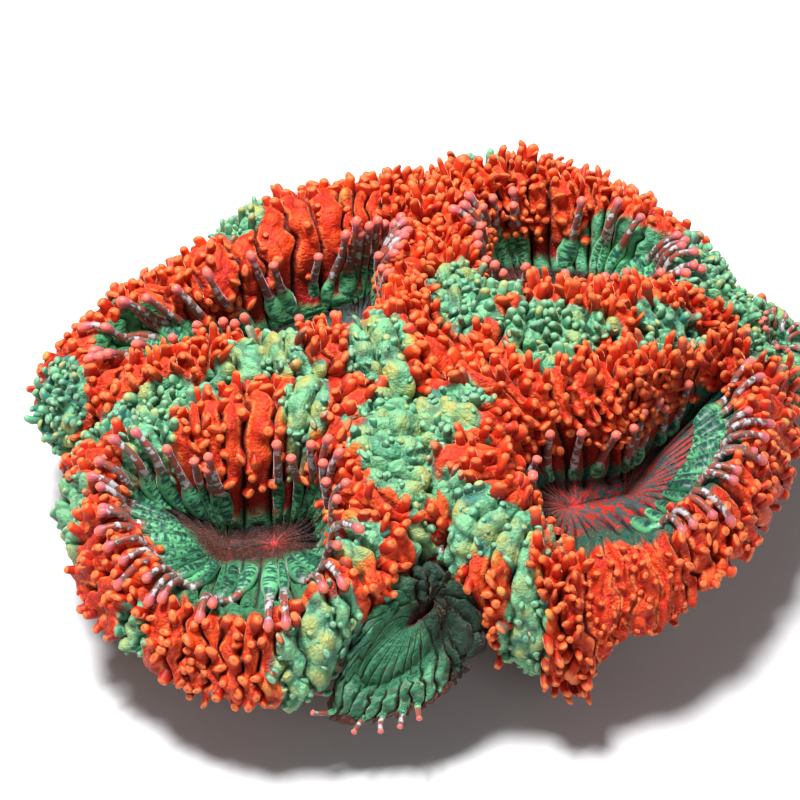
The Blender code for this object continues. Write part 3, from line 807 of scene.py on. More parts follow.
def star_mark(name, x, y, station):
    """Red star of short streaks round the mouth."""
    star_x, star_y, size = POLYPS[name]["star"]
    away = np.hypot(x - star_x, y - star_y) / size
    angle = np.arctan2(y - star_y, x - star_x)
    arms = np.clip(np.cos(STAR_ARMS * angle + 2.0 * np.sin(3.0 * angle)), 0.0, 1.0) ** 2
    mark = np.exp(-((away / STAR_SIZE) ** 2)) + 0.8 * arms * np.exp(-((away / STAR_ARM) ** 2))
    return np.clip(mark, 0.0, 1.0) * smooth_step(3.0 - station)


def rib_width(name, lane, stations):
    """Width of a rib at stations along it."""
    edges = looks[name]["edges"][lane : lane + 2]
    near, far = (on_skin(skins[name], "place", np.full(len(stations), edge), stations) for edge in edges)
    return np.linalg.norm(far - near, axis=1)


# Papillae stand in rows along the ribs, each on a low mound of the flesh. Rows keep
# their spacing along a rib, and a wide rib bears up to three of them side by side.
ROW_STEPS = 60
SITE_SPACING = 0.97
SITE_PITCH = 1.15
SITE_START = 4.0
SITE_END_SEAM = 8.9
SITE_END_RIM = 10.2
SITE_CLEARANCE = 0.8
HIGHEST = 25.9
# Ranges of radius and length: fingers that stand apart, close together, or on green
# tissue, where fringed tissue adds some length; big green mounds; and small nubs.
FINGER_RADIUS, FINGER_LENGTH = (0.36, 0.54), (0.6, 1.35)
CLOSE_RADIUS, CLOSE_LENGTH = (0.28, 0.43), (0.9, 2.0)
GREEN_RADIUS, GREEN_LENGTH, FRINGE_LENGTH = (0.30, 0.44), (0.30, 0.70), (0.3, 0.8)
BIG_RADIUS = (0.60, 1.00)
NUB_RADIUS, NUB_LENGTH = (0.22, 0.34), (0.25, 0.55)
# Ranges of the height of the mound under each.
BIG_MOUND, GREEN_MOUND, FINGER_MOUND, NUB_MOUND = (0.45, 0.75), (0.15, 0.30), (0.28, 0.45), (0.08, 0.16)


def site_rows(name):
    """Rows of (lane, place across it, station, count, nub) along the ribs of a polyp."""
    skin, edges = skins[name], looks[name]["edges"]
    found = []
    for lane in range(POLYPS[name]["ribs"]):
        middle = np.full(ROW_STEPS, (edges[lane] + edges[lane + 1]) / 2)
        rim = float(on_skin(skin, "rim", middle[:1], np.array([5.0]))[0, 0])
        end = SITE_END_SEAM + (SITE_END_RIM - SITE_END_SEAM) * rim
        stations = np.linspace(SITE_START, end, ROW_STEPS)
        length = run_length(on_skin(skin, "place", middle, stations))
        for nub in (0, 1):
            marks = np.interp(np.arange(0.3 + 0.5 * nub, length[-1], SITE_SPACING), length, stations)
            for row, (station, width) in enumerate(zip(marks, rib_width(name, lane, marks))):
                number = int(np.clip(round(width / SITE_PITCH), 1, 3)) + nub
                stagger = (0.22 if row % 2 else -0.22) / number
                places = [(k + 0.5) / number + stagger for k in range(number)]
                found += [(lane, place, station, row + lane, nub) for place in places]
    return np.array(found)


def plan_sites(name):
    """Places, sizes and colours of a polyp's papillae and of the mounds under them.

    Every other green site is a big mound with no finger on it, and the front bud is bare.
    """
    skin, look = skins[name], looks[name]
    rng = np.random.default_rng(look["seed"] * 7)
    rows = site_rows(name)
    total = len(rows)

    def spread(low, high):
        return rng.uniform(low, high, total)

    lanes = rows[:, 0].astype(int)
    across = np.clip(rows[:, 1] + rng.normal(0, 0.06, total), 0.12, 0.88)
    stations = rows[:, 2] + rng.normal(0, 0.07, total)
    turn = drift(look, look["edges"][lanes] + np.diff(look["edges"])[lanes] * across, stations)
    base = on_skin(skin, "place", turn, stations)
    out = unit(on_skin(skin, "out", turn, stations))
    x, y = base[:, 0], base[:, 1]
    green = greenness(x, y)
    is_green = green > 0.5 + rng.normal(0, 0.22, total)
    close = share_in(x, y, CLOSE_PATCHES, 0.25)
    bare = smoothness(x, y)
    sparse = share_in(x, y, SPARSE_PATCHES, 0.25) * (1.0 - close)
    fold = share_in(x, y, FOLD_PATCHES, 0.35, 0.0)
    fringed = share_in(x, y, FRINGED_PATCHES, 0.25)
    inner = fold * smooth_step((6.4 - stations) / 0.6)
    nub = rows[:, 4] > 0.5
    ridged = ridging(x, y) > 0.5
    big = is_green & ~nub & (rows[:, 3] % 2 == 0) & (rng.random(total) < 0.8 - 0.65 * fringed)
    chance = (0.66 + 0.34 * close) * (1.0 - 0.75 * bare) * (1.0 - 0.30 * sparse)
    green_chance = np.where(big, 1.0, 0.45 + 0.45 * fringed)
    chance = np.where(ridged, 0.85, np.where(is_green, green_chance, chance))
    keep = rng.random(total) < np.where(nub, np.where(is_green, 0.45, 0.15 * bare), chance)
    keep &= rng.random(total) > inner
    keep &= base[:, 2] > LOWEST + SITE_CLEARANCE
    keep &= name != "front_bud"
    wall = smooth_step((6.2 - stations) / 1.4)
    radius = spread(*FINGER_RADIUS) * (1 - close) + spread(*CLOSE_RADIUS) * close
    radius = np.where(is_green, spread(*GREEN_RADIUS), radius)
    length = spread(*FINGER_LENGTH) * (1 - close) + spread(*CLOSE_LENGTH) * close
    green_length = spread(*GREEN_LENGTH) + fringed * spread(*FRINGE_LENGTH)
    length = np.where(is_green, green_length, length * (1.0 - 0.25 * sparse))
    length = length * (1.0 - 0.25 * wall)
    radius = np.where(big, spread(*BIG_RADIUS), radius)
    radius = np.where(nub | ridged, spread(*NUB_RADIUS), radius)
    length = np.where(nub | ridged, spread(*NUB_LENGTH), length)
    length = np.minimum(length, HIGHEST - base[:, 2])
    raised = np.where(is_green | nub | ridged, rng.random(total) < 0.85, rng.random(total) > 0.6 * bare)
    standing = raised & ~big
    big_mound, green_mound, finger_mound = spread(*BIG_MOUND), spread(*GREEN_MOUND), spread(*FINGER_MOUND)
    mound = np.where(big, big_mound, np.where(is_green, green_mound, finger_mound))
    mound = np.where(nub | ridged, spread(*NUB_MOUND), mound)
    reach = np.where(big, radius, radius * 1.6)
    yellow = np.where(big, np.where(rng.random(total) < 0.55, spread(0.3, 0.8), 0.1), 0.0)
    pale = np.where(rng.random(total) < np.where(is_green, 0.14, 0.01), 0.5, 0.0)
    plan = dict(
        lane=lanes, across=across, station=stations, base=base, out=out, radius=radius, length=length,
        standing=standing, mound=mound, reach=reach, yellow=yellow, pale=pale,
        green=np.clip(green + np.where(is_green, 0.20, -0.20), 0.0, 1.0),
    )
    return {key: values[keep] for key, values in plan.items()}


def deepness(depth):
    """0 where the disc lies near the crest, 1 where it is sunk well below it."""
    return smooth_step((depth - 2.5) / 4.0)


# Painted shade: the front bud is dark towards the neighbours that stand over it, beyond this place.
BUD_SHADE = (-0.6, 27.4)
FLESH_STATIONS = np.concatenate(
    [
        np.linspace(0.0, 2.0, 14, endpoint=False),
        np.linspace(2.0, 9.6, 84, endpoint=False),
        np.linspace(9.6, LAST_STATION, 16),
    ]
)


def mound_relief(sites, lane, place):
    """Height of the mounds over a lane's places, how near a top each is, and its yellow."""
    here = sites["lane"] == lane
    if not here.any():
        return np.zeros((3,) + place.shape[:-1])
    apart = np.linalg.norm(place[..., None, :] - sites["base"][here], axis=-1)
    share = np.exp(-((apart / sites["reach"][here]) ** 3))
    return np.stack(
        [
            np.max(share * sites["mound"][here], -1),
            np.max(share, -1),
            np.max(share**1.5 * sites["yellow"][here], -1),
        ]
    )


def make_flesh(name):
    """Flesh of one polyp: the skin with its ribs and mounds, closed at mouth and foot."""
    skin, look = skins[name], looks[name]
    count = POLYPS[name]["ribs"]
    share = (np.arange(RAYS_PER_RIB) / RAYS_PER_RIB)[None, :]
    starts, ends = look["edges"][:-1, None], look["edges"][1:, None]
    turn = (starts + (ends - starts) * share).ravel()
    lane = np.repeat(np.arange(count), RAYS_PER_RIB)
    across = np.tile(share.ravel(), count)
    rows, columns = len(turn), len(FLESH_STATIONS)
    turn_grid = np.repeat(turn[:, None], columns, 1)
    station = np.repeat(FLESH_STATIONS[None], rows, 0)
    turn_grid = drift(look, turn_grid, station)
    place = on_skin(skin, "place", turn_grid, station)
    out = on_skin(skin, "out", turn_grid, station)
    lane_grid = np.repeat(lane[:, None], columns, 1)
    across_grid = np.repeat(across[:, None], columns, 1)
    relief, lobe = rib_relief(look, lane_grid, across_grid, station, place)
    blocks = place.reshape(count, RAYS_PER_RIB, columns, 3)
    mounds = [mound_relief(sites[name], number, block) for number, block in enumerate(blocks)]
    mound, knob, yellow = np.concatenate(mounds, axis=1)
    place = place + out * (relief + mound * np.sqrt(lobe))[..., None]
    place[..., 2] = np.maximum(place[..., 2], LOWEST)
    green = greenness(place[..., 0], place[..., 1])
    deep = deepness(on_skin(skin, "depth", turn_grid, station)[..., 0])
    if name == "front_bud":
        green = np.maximum(green, smooth_step(9.0 - station))
        # On the front bud the deep attribute carries painted shade, by place on the plan.
        deep = smooth_step((place[..., 0] + 0.9 * (place[..., 1] + BUD_SHADE[1]) - BUD_SHADE[0]) / 3.0)
    around = 2 * math.pi * turn_grid
    ring = count / (2 * math.pi)
    along = np.stack([ring * np.cos(around), ring * np.sin(around), station], -1)
    points = place.reshape(-1, 3)
    first_ring = points[::columns]
    last_ring = points[columns - 1 :: columns]
    hubs = np.stack([first_ring.mean(0) - [0, 0, 0.3], last_ring.mean(0)])
    total = len(points)
    points = np.vstack([points, hubs])
    folds = share_in(place[..., 0], place[..., 1], FOLD_PATCHES, 0.35, 0.0)

    def with_hubs(values, first=0.0, last=0.0):
        return np.concatenate([values.reshape(total, *values.shape[2:]), [first, last]])

    attributes = {
        "along": with_hubs(along, [0, 0, 0], [0, 0, LAST_STATION]),
        "station": with_hubs(station, 0.0, LAST_STATION),
        "lobe": with_hubs(lobe, 1.0, 1.0),
        "green": with_hubs(green),
        "fold": with_hubs(folds),
        "deep": with_hubs(deep),
        "knob": with_hubs(knob),
        "yellow": with_hubs(yellow),
        "star": with_hubs(star_mark(name, place[..., 0], place[..., 1], station)),
    }
    faces = closed_faces(rows, columns)
    return mesh_piece(name + "_flesh", to_world(points), faces, attributes, flesh_material(name))


sites = {name: plan_sites(name) for name in POLYPS}
for name in POLYPS:
    make_flesh(name)

# --- Papillae --------------------------------------------------------------------
# Small fingers of the same flesh that stand on the ribs, from the top of the inner
# wall to the lip. They are long on the orange tissue and low and round on the green.

FINGER_SIDES = 8
# Rings of a finger, each (share of its length, size).
FINGER_PROFILE = (
    (-0.50, 1.36), (0.0, 1.16), (0.34, 0.98), (0.68, 0.96), (0.87, 0.80), (0.98, 0.46),
)
FINGER_TIP = 1.05
FINGER_TIP_MARK = 1.35
OVAL = 0.62
LEAN = 0.34
LIFT = (0.0, 0.0, 0.20)


def papilla_material():
    """The same tissue, darker towards each finger's foot as painted shade, with a painted highlight ring
    round each fingertip.
    """
    shade = Shade("papillae_flesh")
    tip = shade.read("tip")
    coords = shade.node("ShaderNodeTexCoord").outputs["Object"]
    fine = shade.noise(coords, 1600.0)
    spot = shade.noise(coords, SPOT_WAVES)
    broad = shade.noise(coords, BROAD_WAVES)
    colour, ragged = patch_colour(shade, coords, fine, spot, broad)
    is_green = shade.step(ragged, *GREEN_SPLIT)
    base = shade.mix(is_green, RED_DEEP_SHADE, GREEN_SHADE)
    tone = shade.times(shade.read("tone"), shade.step(is_green, 0.0, 1.0, 0.50, 0.25))
    colour = shade.mix(tone, colour, base)
    # Painted shade: each finger darkens towards its foot.
    colour = shade.mix(shade.step(tip, -0.30, 0.55), base, colour)
    # Painted highlight: a pale ring round each fingertip, fading towards the very tip.
    pale = shade.mix(is_green, ORANGE_HIGHLIGHT, GREEN_HIGHLIGHT)
    rim = shade.times(shade.step(tip, 0.58, 0.94), shade.step(tip, 1.26, 0.96, 0.35, 1.0))
    share = shade.less(0.66, shade.times(is_green, 0.10))
    colour = shade.mix(shade.times(rim, share), colour, pale)
    colour = shade.mix(shade.times(shade.read("pale"), shade.step(tip, 0.3, 0.9)), colour, YELLOW)
    shade.bump(fine, 0.00010, 0.7)
    return shade.finish(colour, 0.48, SHEEN_WARM, 0.80, 0.08)


def tube_faces(rings, sides, count):
    """Faces of a number of like tubes, each of rings of points that end in a tip."""
    pattern = []
    for low in range(0, (rings - 1) * sides, sides):
        for i in range(sides):
            j = (i + 1) % sides
            pattern.append((low + i, low + j, low + sides + j, low + sides + i))
    top, tip = (rings - 1) * sides, rings * sides
    pattern += [(top + i, top + (i + 1) % sides, tip) for i in range(sides)]
    return [tuple(n * (tip + 1) + v for v in face) for n in range(count) for face in pattern]


def make_fingers(name, material):
    """Papillae of one polyp: short tubes on its mounds, oval and a little aslant."""
    look, plan = looks[name], sites[name]
    rng = np.random.default_rng(look["seed"] * 11)
    plan = {key: values[plan["standing"]] for key, values in plan.items()}
    number = len(plan["lane"])
    outs = plan["out"]
    relief, _ = rib_relief(
        look, plan["lane"][None], plan["across"][None], plan["station"][None], plan["base"][None]
    )
    bases = plan["base"] + outs * (relief[0] + plan["mound"] * 0.85)[:, None]
    aims = unit(outs + rng.normal(0, LEAN, (number, 3)) + np.array(LIFT))
    lengths, radii = plan["length"][:, None], plan["radius"][:, None]
    turns = 2 * math.pi * np.arange(FINGER_SIDES) / FINGER_SIDES
    per = FINGER_SIDES * len(FINGER_PROFILE) + 1
    points = np.zeros((number, per, 3))
    tips = np.zeros((number, per))
    reference = unit(rng.normal(0, 1.0, (number, 3)))
    ovals = 1.0 + OVAL * (rng.random(number) ** 2)[:, None, None]
    for k, (height, size) in enumerate(FINGER_PROFILE):
        h = max(height, 0.0)
        axis = unit(outs * (1 - h) + aims * h)
        centre = bases + lengths * height * axis
        side = unit(np.cross(axis, reference))
        other = np.cross(axis, side)
        ring = side[:, None] * np.cos(turns)[None, :, None] * ovals
        ring = ring + other[:, None] * np.sin(turns)[None, :, None] / ovals
        here = slice(k * FINGER_SIDES, (k + 1) * FINGER_SIDES)
        points[:, here] = centre[:, None] + ring * (radii * size)[:, None]
        tips[:, here] = height
    points[:, -1] = bases + lengths * aims * FINGER_TIP
    tips[:, -1] = FINGER_TIP_MARK
    faces = tube_faces(len(FINGER_PROFILE), FINGER_SIDES, number)
    attributes = {
        "tip": tips.ravel(),
        "green": np.repeat(plan["green"], per),
        "pale": np.repeat(plan["pale"], per),
        "tone": np.repeat(rng.random(number), per),
    }
    return mesh_piece(name + "_papillae", to_world(points.reshape(-1, 3)), faces, attributes, material)


papillae_flesh = papilla_material()
for name in POLYPS:
    if sites[name]["standing"].any():
        make_fingers(name, papillae_flesh)

# --- Tentacles -------------------------------------------------------------------
# One at the margin of the disc for nearly every rib. Its root is a swollen green lobe
# as wide as the rib, and its banded arm ends in a round pink tip. The arms rise along
# the inner wall and lie out over the crest where the wall is low.

ARM_SIDES = 10
# Station of the root where the disc is shallow and where it is deep, then the length
# of the root lobe and of the arm beyond it, in millimetres, and how much of the lobe's
# length is left where the disc is deep.
ARM_LAYOUT = {
    "right_front": (1.9, 2.5, 3.8, 4.4, 0.45),
    "right_back": (1.5, 2.5, 4.0, 4.8, 1.0),
    "left_back": (1.4, 2.5, 3.6, 5.4, 1.0),
    "left_front": (1.3, 2.5, 4.6, 4.6, 1.0),
    "front_bud": (7.4, 7.4, 0.9, 1.5, 1.0),
    "side_bud": (1.7, 1.7, 1.8, 1.6, 1.0),
}
# Rings of the lobe and of the arm, each (share of its length, size).
LOBE_RINGS = (
    (0.0, 0.30), (0.12, 0.62), (0.28, 0.86), (0.48, 1.0), (0.68, 0.98), (0.84, 0.80), (0.96, 0.56),
)
ARM_RINGS = (
    (0.10, 1.12), (0.25, 1.06), (0.42, 1.00), (0.60, 0.94), (0.77, 0.84), (0.82, 1.00),
    (0.865, 1.26), (0.91, 1.32), (0.955, 1.12), (0.99, 0.64),
)
ARM_RADIUS = 0.37
LOBE_SHARE = 0.50
LOBE_FLATNESS = 0.72
ARM_CHANCE = 0.93
BUD_ARM_CHANCE = 0.75
BUD_ARM_SIDE = 3.2
PAIR_SHARES = (0.27, 0.73)
# How bright the lobes of each polyp are, from 0 to 1.
LOBE_TONE = {
    "right_front": 0.70,
    "right_back": 1.0,
    "left_back": 1.0,
    "left_front": 0.40,
    "front_bud": 0.60,
    "side_bud": 0.60,
}
ARM_LEAN = 0.65
FAN_TURNS = np.linspace(-0.10, 0.10, 41)
ARM_STEPS = 110
ARM_REACH = 11.0
BUD_ARM_SIZE = 0.60
BUD_LOBE_HALF = 0.30
BUD_HOLD = 7.6
LOBE_DULL, LOBE_BRIGHT = rgb(44, 112, 80), rgb(116, 204, 142)
RUNG_BRIGHT = rgb(40, 96, 84)
EYE_TEAL = rgb(20, 52, 56)
BAND_RED, BAND_GREY, BAND_PALE = rgb(158, 76, 60), rgb(100, 92, 86), rgb(192, 184, 188)
TIP_LILAC, TIP_PINK = rgb(186, 98, 112), rgb(238, 120, 102)
SHEEN_PINK = (1.0, 0.75, 0.8, 1.0)


def tentacle_material():
    """Green lobes with dark rungs, then red and grey bands, then a pink tip."""
    shade = Shade("tentacle_flesh")
    run = shade.read("run")
    flank = shade.read("flank")
    along = shade.read("along", "Vector")
    rungs = shade.noise(along, 1.0, 3.0, 0.6, stretch=(0.8, 0.8, 3.0))
    bands = shade.noise(along, 1.0, 1.5, 0.5, stretch=(0.45, 0.45, 1.9))
    tone = shade.read("tone")
    ground = shade.mix(tone, LOBE_DULL, LOBE_BRIGHT)
    rung = shade.mix(tone, TEAL_DARK, RUNG_BRIGHT)
    lobe = shade.mix(shade.step(rungs, 0.42, 0.56), ground, rung)
    lobe = shade.mix(shade.step(flank, 0.62, 0.95), lobe, ground)
    lobe = shade.mix(shade.step(flank, 0.15, 0.0), lobe, TEAL_DARK)
    eye = shade.times(shade.step(run, 0.10, 0.40), shade.step(run, 0.95, 0.60))
    eye = shade.times(eye, shade.step(flank, 0.85, 0.35))
    lobe = shade.mix(shade.times(eye, shade.read("ringed")), lobe, EYE_TEAL)
    banded = shade.mix(shade.step(bands, 0.43, 0.50), BAND_RED, BAND_GREY)
    banded = shade.mix(shade.step(bands, 0.53, 0.60), banded, BAND_PALE)
    colour = shade.mix(shade.step(run, 0.86, 1.08), lobe, banded)
    end = shade.mix(shade.step(run, 1.82, 1.96), TIP_LILAC, TIP_PINK)
    colour = shade.mix(shade.step(run, 1.77, 1.83), colour, end)
    shade.bump(rungs, 0.00012, 0.6)
    return shade.finish(colour, 0.38, SHEEN_PINK, 0.7, 0.2)


def fan_lean(name, turn, root):
    """Share of a turn by which a tentacle bends so that the ring fans out from the mouth."""
    star = np.array(POLYPS[name]["star"][:2])
    start = on_skin(skins[name], "place", np.array([turn]), np.array([root]))[0, :2] - star
    turns = turn + FAN_TURNS
    ends = unit(on_skin(skins[name], "place", turns, np.full(len(turns), CREST_STATION))[:, :2] - star)
    return turns[np.argmax(ends @ unit(start))] - turn


def on_crest(name, lane, key="place"):
    """Value of the skin where a rib passes over the crest."""
    turn = looks[name]["edges"][lane : lane + 1]
    return on_skin(skins[name], key, turn, np.array([CREST_STATION]))[0]


def arm_chance(name, lane):
    """Chance that a rib bears a tentacle: none on the ridged lobe, few on the front bud."""
    x, y, _ = on_crest(name, lane)
    if name == "front_bud":
        return BUD_ARM_CHANCE * float(x < BUD_ARM_SIDE)
    few = 0.45 * float(deepness(on_crest(name, lane, "depth")[0])) if name == "right_front" else 0.0
    return ARM_CHANCE * (1.0 - float(ridging(x, y))) * (1.0 - few)


def tentacle_places(name, rng):
    """Ribs that bear a tentacle and the places across them: broad bare ribs bear two."""
    found = []
    for lane in range(POLYPS[name]["ribs"]):
        x, y, _ = on_crest(name, lane)
        shares = PAIR_SHARES if smoothness(x, y) > 0.5 else (0.5,)
        found += [(lane, share) for share in shares if rng.random() < arm_chance(name, lane)]
    return found


def tentacle(name, lane, share, rng):
    """Rings of one tentacle, with how far along it each lies: 1 root lobe, 2 tip."""
    skin, edges = skins[name], looks[name]["edges"]
    shallow_root, deep_root, lobe_length, arm_length, deep_share = ARM_LAYOUT[name]
    small = BUD_ARM_SIZE if name.endswith("bud") else 1.0
    turn = edges[lane] + (edges[lane + 1] - edges[lane]) * (share + rng.normal(0, 0.04))
    depth = on_skin(skin, "depth", np.array([turn]), np.array([3.0]))[0, 0]
    deep = float(deepness(depth))
    root = shallow_root + (deep_root - shallow_root) * deep
    lobe_length *= rng.uniform(0.85, 1.15) * (1.0 - (1.0 - deep_share) * deep)
    arm_length *= rng.uniform(0.75, 1.25) * (1.15 - 0.15 * deep)
    lift = rng.uniform(1.2, 2.3) * deep + 0.25 * (1.0 - deep)
    stations = np.linspace(root, ARM_REACH, ARM_STEPS)
    lean = 0.0 if small < 1.0 else fan_lean(name, turn, root)
    sway = ARM_LEAN * lean + rng.normal(0, 0.35) / POLYPS[name]["ribs"]
    sway += 0.6 * (share - 0.5) * (edges[lane + 1] - edges[lane])
    turn = turn + sway * smooth_step((stations - root) / 4.0)
    held = np.minimum(stations, BUD_HOLD) if name == "front_bud" else stations
    line = on_skin(skin, "place", turn, held)
    line[:, :2] += on_skin(skin, "heading", turn, held) * (0.8 * (stations - held))[:, None]
    out = unit(on_skin(skin, "out", turn, held))
    wide = rib_width(name, lane, stations) * (1.0 if share == 0.5 else 0.55)
    length = run_length(line)
    beyond = np.clip((length - 0.8 * lobe_length) / arm_length, 0.0, 1.4)
    rise = 0.30 + 0.35 * np.clip(length / lobe_length, 0.0, 1.0) + lift * beyond**1.25
    rise = rise + 0.55 * smooth_step((stations - 4.6) / 1.4)
    line = line + out * rise[:, None]
    length = run_length(line)
    rings = [(part * lobe_length, part, size, 1.0) for part, size in LOBE_RINGS]
    rings += [(lobe_length + part * arm_length, 1.0 + part, size, 0.0) for part, size in ARM_RINGS]
    marks, runs, sizes, in_lobe = np.array(rings).T

    def at(values, where):
        return np.stack([np.interp(where, length, values[:, k]) for k in range(values.shape[1])], 1)

    spots = at(line, marks)
    axis = unit(at(line, marks + 0.15) - at(line, marks - 0.15) + 1e-6)
    side = unit(np.cross(axis, at(out, marks)))
    other = np.cross(side, axis)
    half = np.clip(LOBE_SHARE * np.interp(marks, length, wide), 0.45, 1.05) * sizes
    half *= 1.0 - 0.5 * (1.0 - deep_share) * deep
    if name == "front_bud":
        half = BUD_LOBE_HALF * sizes
    width = np.maximum(half * in_lobe, ARM_RADIUS * small * np.where(in_lobe > 0.5, 1.0, sizes))
    width[0] = 0.25 * width[1]
    height = np.where(in_lobe > 0.5, np.maximum(width * LOBE_FLATNESS, ARM_RADIUS * small), width)
    height[0] = width[0]
    turns = 2 * math.pi * np.arange(ARM_SIDES) / ARM_SIDES
    across, up = np.cos(turns)[None, :, None], np.sin(turns)[None, :, None]
    ring = side[:, None] * across * width[:, None, None] + other[:, None] * up * height[:, None, None]
    block = np.vstack([(spots[:, None] + ring).reshape(-1, 3), [spots[-1] + axis[-1] * 0.10]])
    run = np.append(np.repeat(runs, ARM_SIDES), 2.0)
    flank = np.append(np.tile(np.abs(np.cos(turns)), len(marks)), 0.5)
    offset = rng.uniform(0, 100)
    wrap = np.stack(
        [
            np.tile(np.cos(turns), len(marks)) + offset,
            np.tile(np.sin(turns), len(marks)),
            np.repeat(marks, ARM_SIDES),
        ],
        1,
    )
    return block, run, flank, np.vstack([wrap, [[offset, 0.0, marks[-1]]]])


def make_tentacles(name, material):
    """All tentacles of one polyp as one mesh."""
    rng = np.random.default_rng(looks[name]["seed"] * 13)
    parts = [tentacle(name, lane, share, rng) for lane, share in tentacle_places(name, rng)]
    points, runs, flanks, alongs = (np.concatenate(stack) for stack in zip(*parts))
    ring_count = len(LOBE_RINGS) + len(ARM_RINGS)
    per = ring_count * ARM_SIDES + 1
    faces = tube_faces(ring_count, ARM_SIDES, len(parts))
    tones = np.clip(rng.normal(LOBE_TONE[name], 0.25, len(parts)), 0.0, 1.0)
    ringed = rng.uniform(0.4, 0.95, len(parts)) * (name == "right_front")
    attributes = {
        "run": runs,
        "flank": flanks,
        "along": alongs,
        "tone": np.repeat(tones, per),
        "ringed": np.repeat(ringed, per),
    }
    return mesh_piece(name + "_tentacles", to_world(points), faces, attributes, material)


tentacle_flesh = tentacle_material()
for name in POLYPS:
    make_tentacles(name, tentacle_flesh)

# --- Stump -----------------------------------------------------------------------
# The stony skeleton under the flesh, cut off flat where the colony grew on rock.

STUMP_OUTLINE = (
    (32.0, -4.0), (27.0, -16.5), (18.0, -19.5), (8.0, -19.5), (0.0, -26.5), (-9.0, -26.5),
    (-21.0, -25.5), (-27.0, -19.0), (-26.0, -8.0), (-28.0, 1.0), (-24.0, 9.0), (-12.0, 17.5),
    (4.0, 24.0), (18.0, 25.5), (27.5, 18.5), (34.0, 9.0),
)
STUMP_TOP_DROP = 10.8
# How wide the stump is on its way up, each (share of its height, share of its width).
STUMP_RINGS = ((0.0, 0.86), (0.25, 0.88), (0.62, 0.91), (1.0, 0.98))
STUMP_RAYS, STUMP_LEVELS = 240, 30
# Bumps of the stone, each (seed, waves per millimetre, height).
STUMP_BUMPS = ((41, 0.5, 0.5), (42, 1.3, 0.25))
STONE_BROWN, STONE_VIOLET, STONE_PALE = rgb(150, 128, 108), rgb(104, 74, 74), rgb(186, 170, 150)


def stump_material():
    """Dull stone, greyish violet and brown with pale grains."""
    shade = Shade("stump_stone")
    coords = shade.node("ShaderNodeTexCoord").outputs["Object"]
    broad = shade.noise(coords, 160.0, 4.0)
    grain = shade.noise(coords, 1500.0, 3.0)
    colour = shade.mix(shade.step(broad, 0.38, 0.62), STONE_BROWN, STONE_VIOLET)
    colour = shade.mix(shade.step(grain, 0.55, 0.75), colour, STONE_PALE)
    shade.bump(shade.plus(grain, broad), 0.0004, 0.9)
    return shade.finish(colour, 0.85, (1, 1, 1, 1), 0.0)


def make_stump():
    """Rough stone wall from the cut up to the underside of the flesh."""
    outline = closed_curve(STUMP_OUTLINE, STUMP_RAYS)
    centre = np.array(STUMP_CENTRE)
    shares, sizes = np.array(STUMP_RINGS).T
    levels = np.linspace(0.0, 1.0, STUMP_LEVELS)
    widths = np.interp(levels, shares, sizes)
    flat = centre + (outline[:, None] - centre) * widths[None, :, None]
    height = (dome(flat[..., 0], flat[..., 1]) - STUMP_TOP_DROP) * levels[None]
    place = np.concatenate([flat, height[..., None]], 2)
    bumps = sum(
        soft_noise(*(place * waves).transpose(2, 0, 1), seed) * size for seed, waves, size in STUMP_BUMPS
    )
    away = unit(flat - centre)
    place[..., :2] += away * bumps[..., None]
    hubs = np.array([[*centre, 0.0], [*centre, dome(*centre) - STUMP_TOP_DROP]])
    points = np.vstack([place.reshape(-1, 3), hubs])
    faces = [face[::-1] for face in closed_faces(*place.shape[:2])]
    return mesh_piece("stump", to_world(points), faces, {}, stump_material())


make_stump()

# --- Floor, light and camera -----------------------------------------------------
# A plain pale sweep under soft studio light.

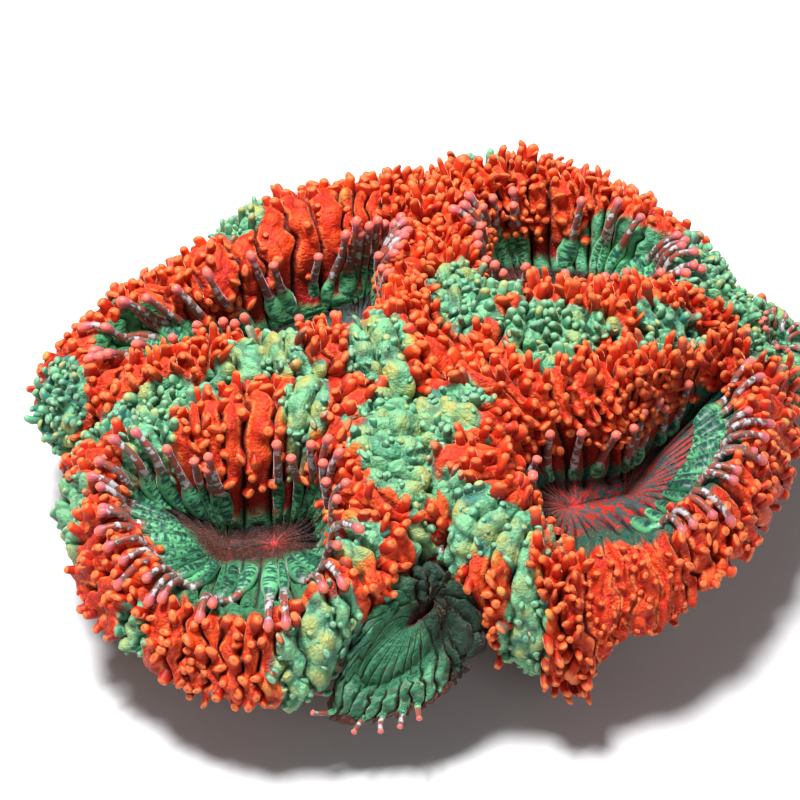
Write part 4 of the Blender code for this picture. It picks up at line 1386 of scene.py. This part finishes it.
FLOOR_SIZE = 3.0
FLOOR_GREY = (0.72, 0.72, 0.73, 1.0)
FLOOR_ROUGHNESS = 0.9
WORLD_WHITE = (0.95, 0.97, 1.0, 1.0)
WORLD_POWER = 0.14
bpy.ops.mesh.primitive_plane_add(size=FLOOR_SIZE, location=(0, 0, 0))
floor = bpy.context.active_object
floor.name = "floor"
floor_shade = Shade("floor_paint")
floor_shade.shader.inputs["Base Color"].default_value = FLOOR_GREY
floor_shade.shader.inputs["Roughness"].default_value = FLOOR_ROUGHNESS
floor.data.materials.append(floor_shade.material)

world = bpy.data.worlds.new("studio")
bpy.context.scene.world = world
world.use_nodes = True
world.node_tree.nodes["Background"].inputs["Color"].default_value = WORLD_WHITE
world.node_tree.nodes["Background"].inputs["Strength"].default_value = WORLD_POWER

# Place, size and power of each lamp.
LAMPS = {
    "key_lamp": ((-0.11, 0.04, 0.50), 0.15, 4.8),
    "front_lamp": ((0.22, -0.42, 0.30), 0.30, 0.4),
}
LAMP_AIM = Vector((0.0, 0.0, 0.01))
for name, (place, size, power) in LAMPS.items():
    bpy.ops.object.light_add(type="AREA", location=place)
    lamp = bpy.context.active_object
    lamp.name = name
    lamp.data.shape = "DISK"
    lamp.data.size = size
    lamp.data.energy = power
    lamp.rotation_euler = (LAMP_AIM - lamp.location).to_track_quat("-Z", "Y").to_euler()

VIEW_ELEVATION = math.radians(45.0)
VIEW_DISTANCE = 400.0
VIEW_WIDTH = 76.3
VIEW_AIM = (-PLAN_CENTRE[0], -PLAN_CENTRE[1], 9.0)
VIEW_SHIFT = (-1.144, 3.815)
SENSOR_WIDTH = 36.0
back = np.array([0.0, -math.cos(VIEW_ELEVATION), math.sin(VIEW_ELEVATION)])
up = np.array([0.0, math.sin(VIEW_ELEVATION), math.cos(VIEW_ELEVATION)])
aim = np.array(VIEW_AIM) + np.array([VIEW_SHIFT[0], 0.0, 0.0]) + up * VIEW_SHIFT[1]
bpy.ops.object.camera_add(location=tuple((aim + back * VIEW_DISTANCE) * MM))
camera = bpy.context.active_object
camera.rotation_euler = (math.pi / 2 - VIEW_ELEVATION, 0.0, 0.0)
camera.data.sensor_width = SENSOR_WIDTH
camera.data.lens = SENSOR_WIDTH * VIEW_DISTANCE / VIEW_WIDTH
camera.data.clip_end = 10.0
bpy.context.scene.camera = camera
bpy.context.scene.view_settings.view_transform = "Standard"
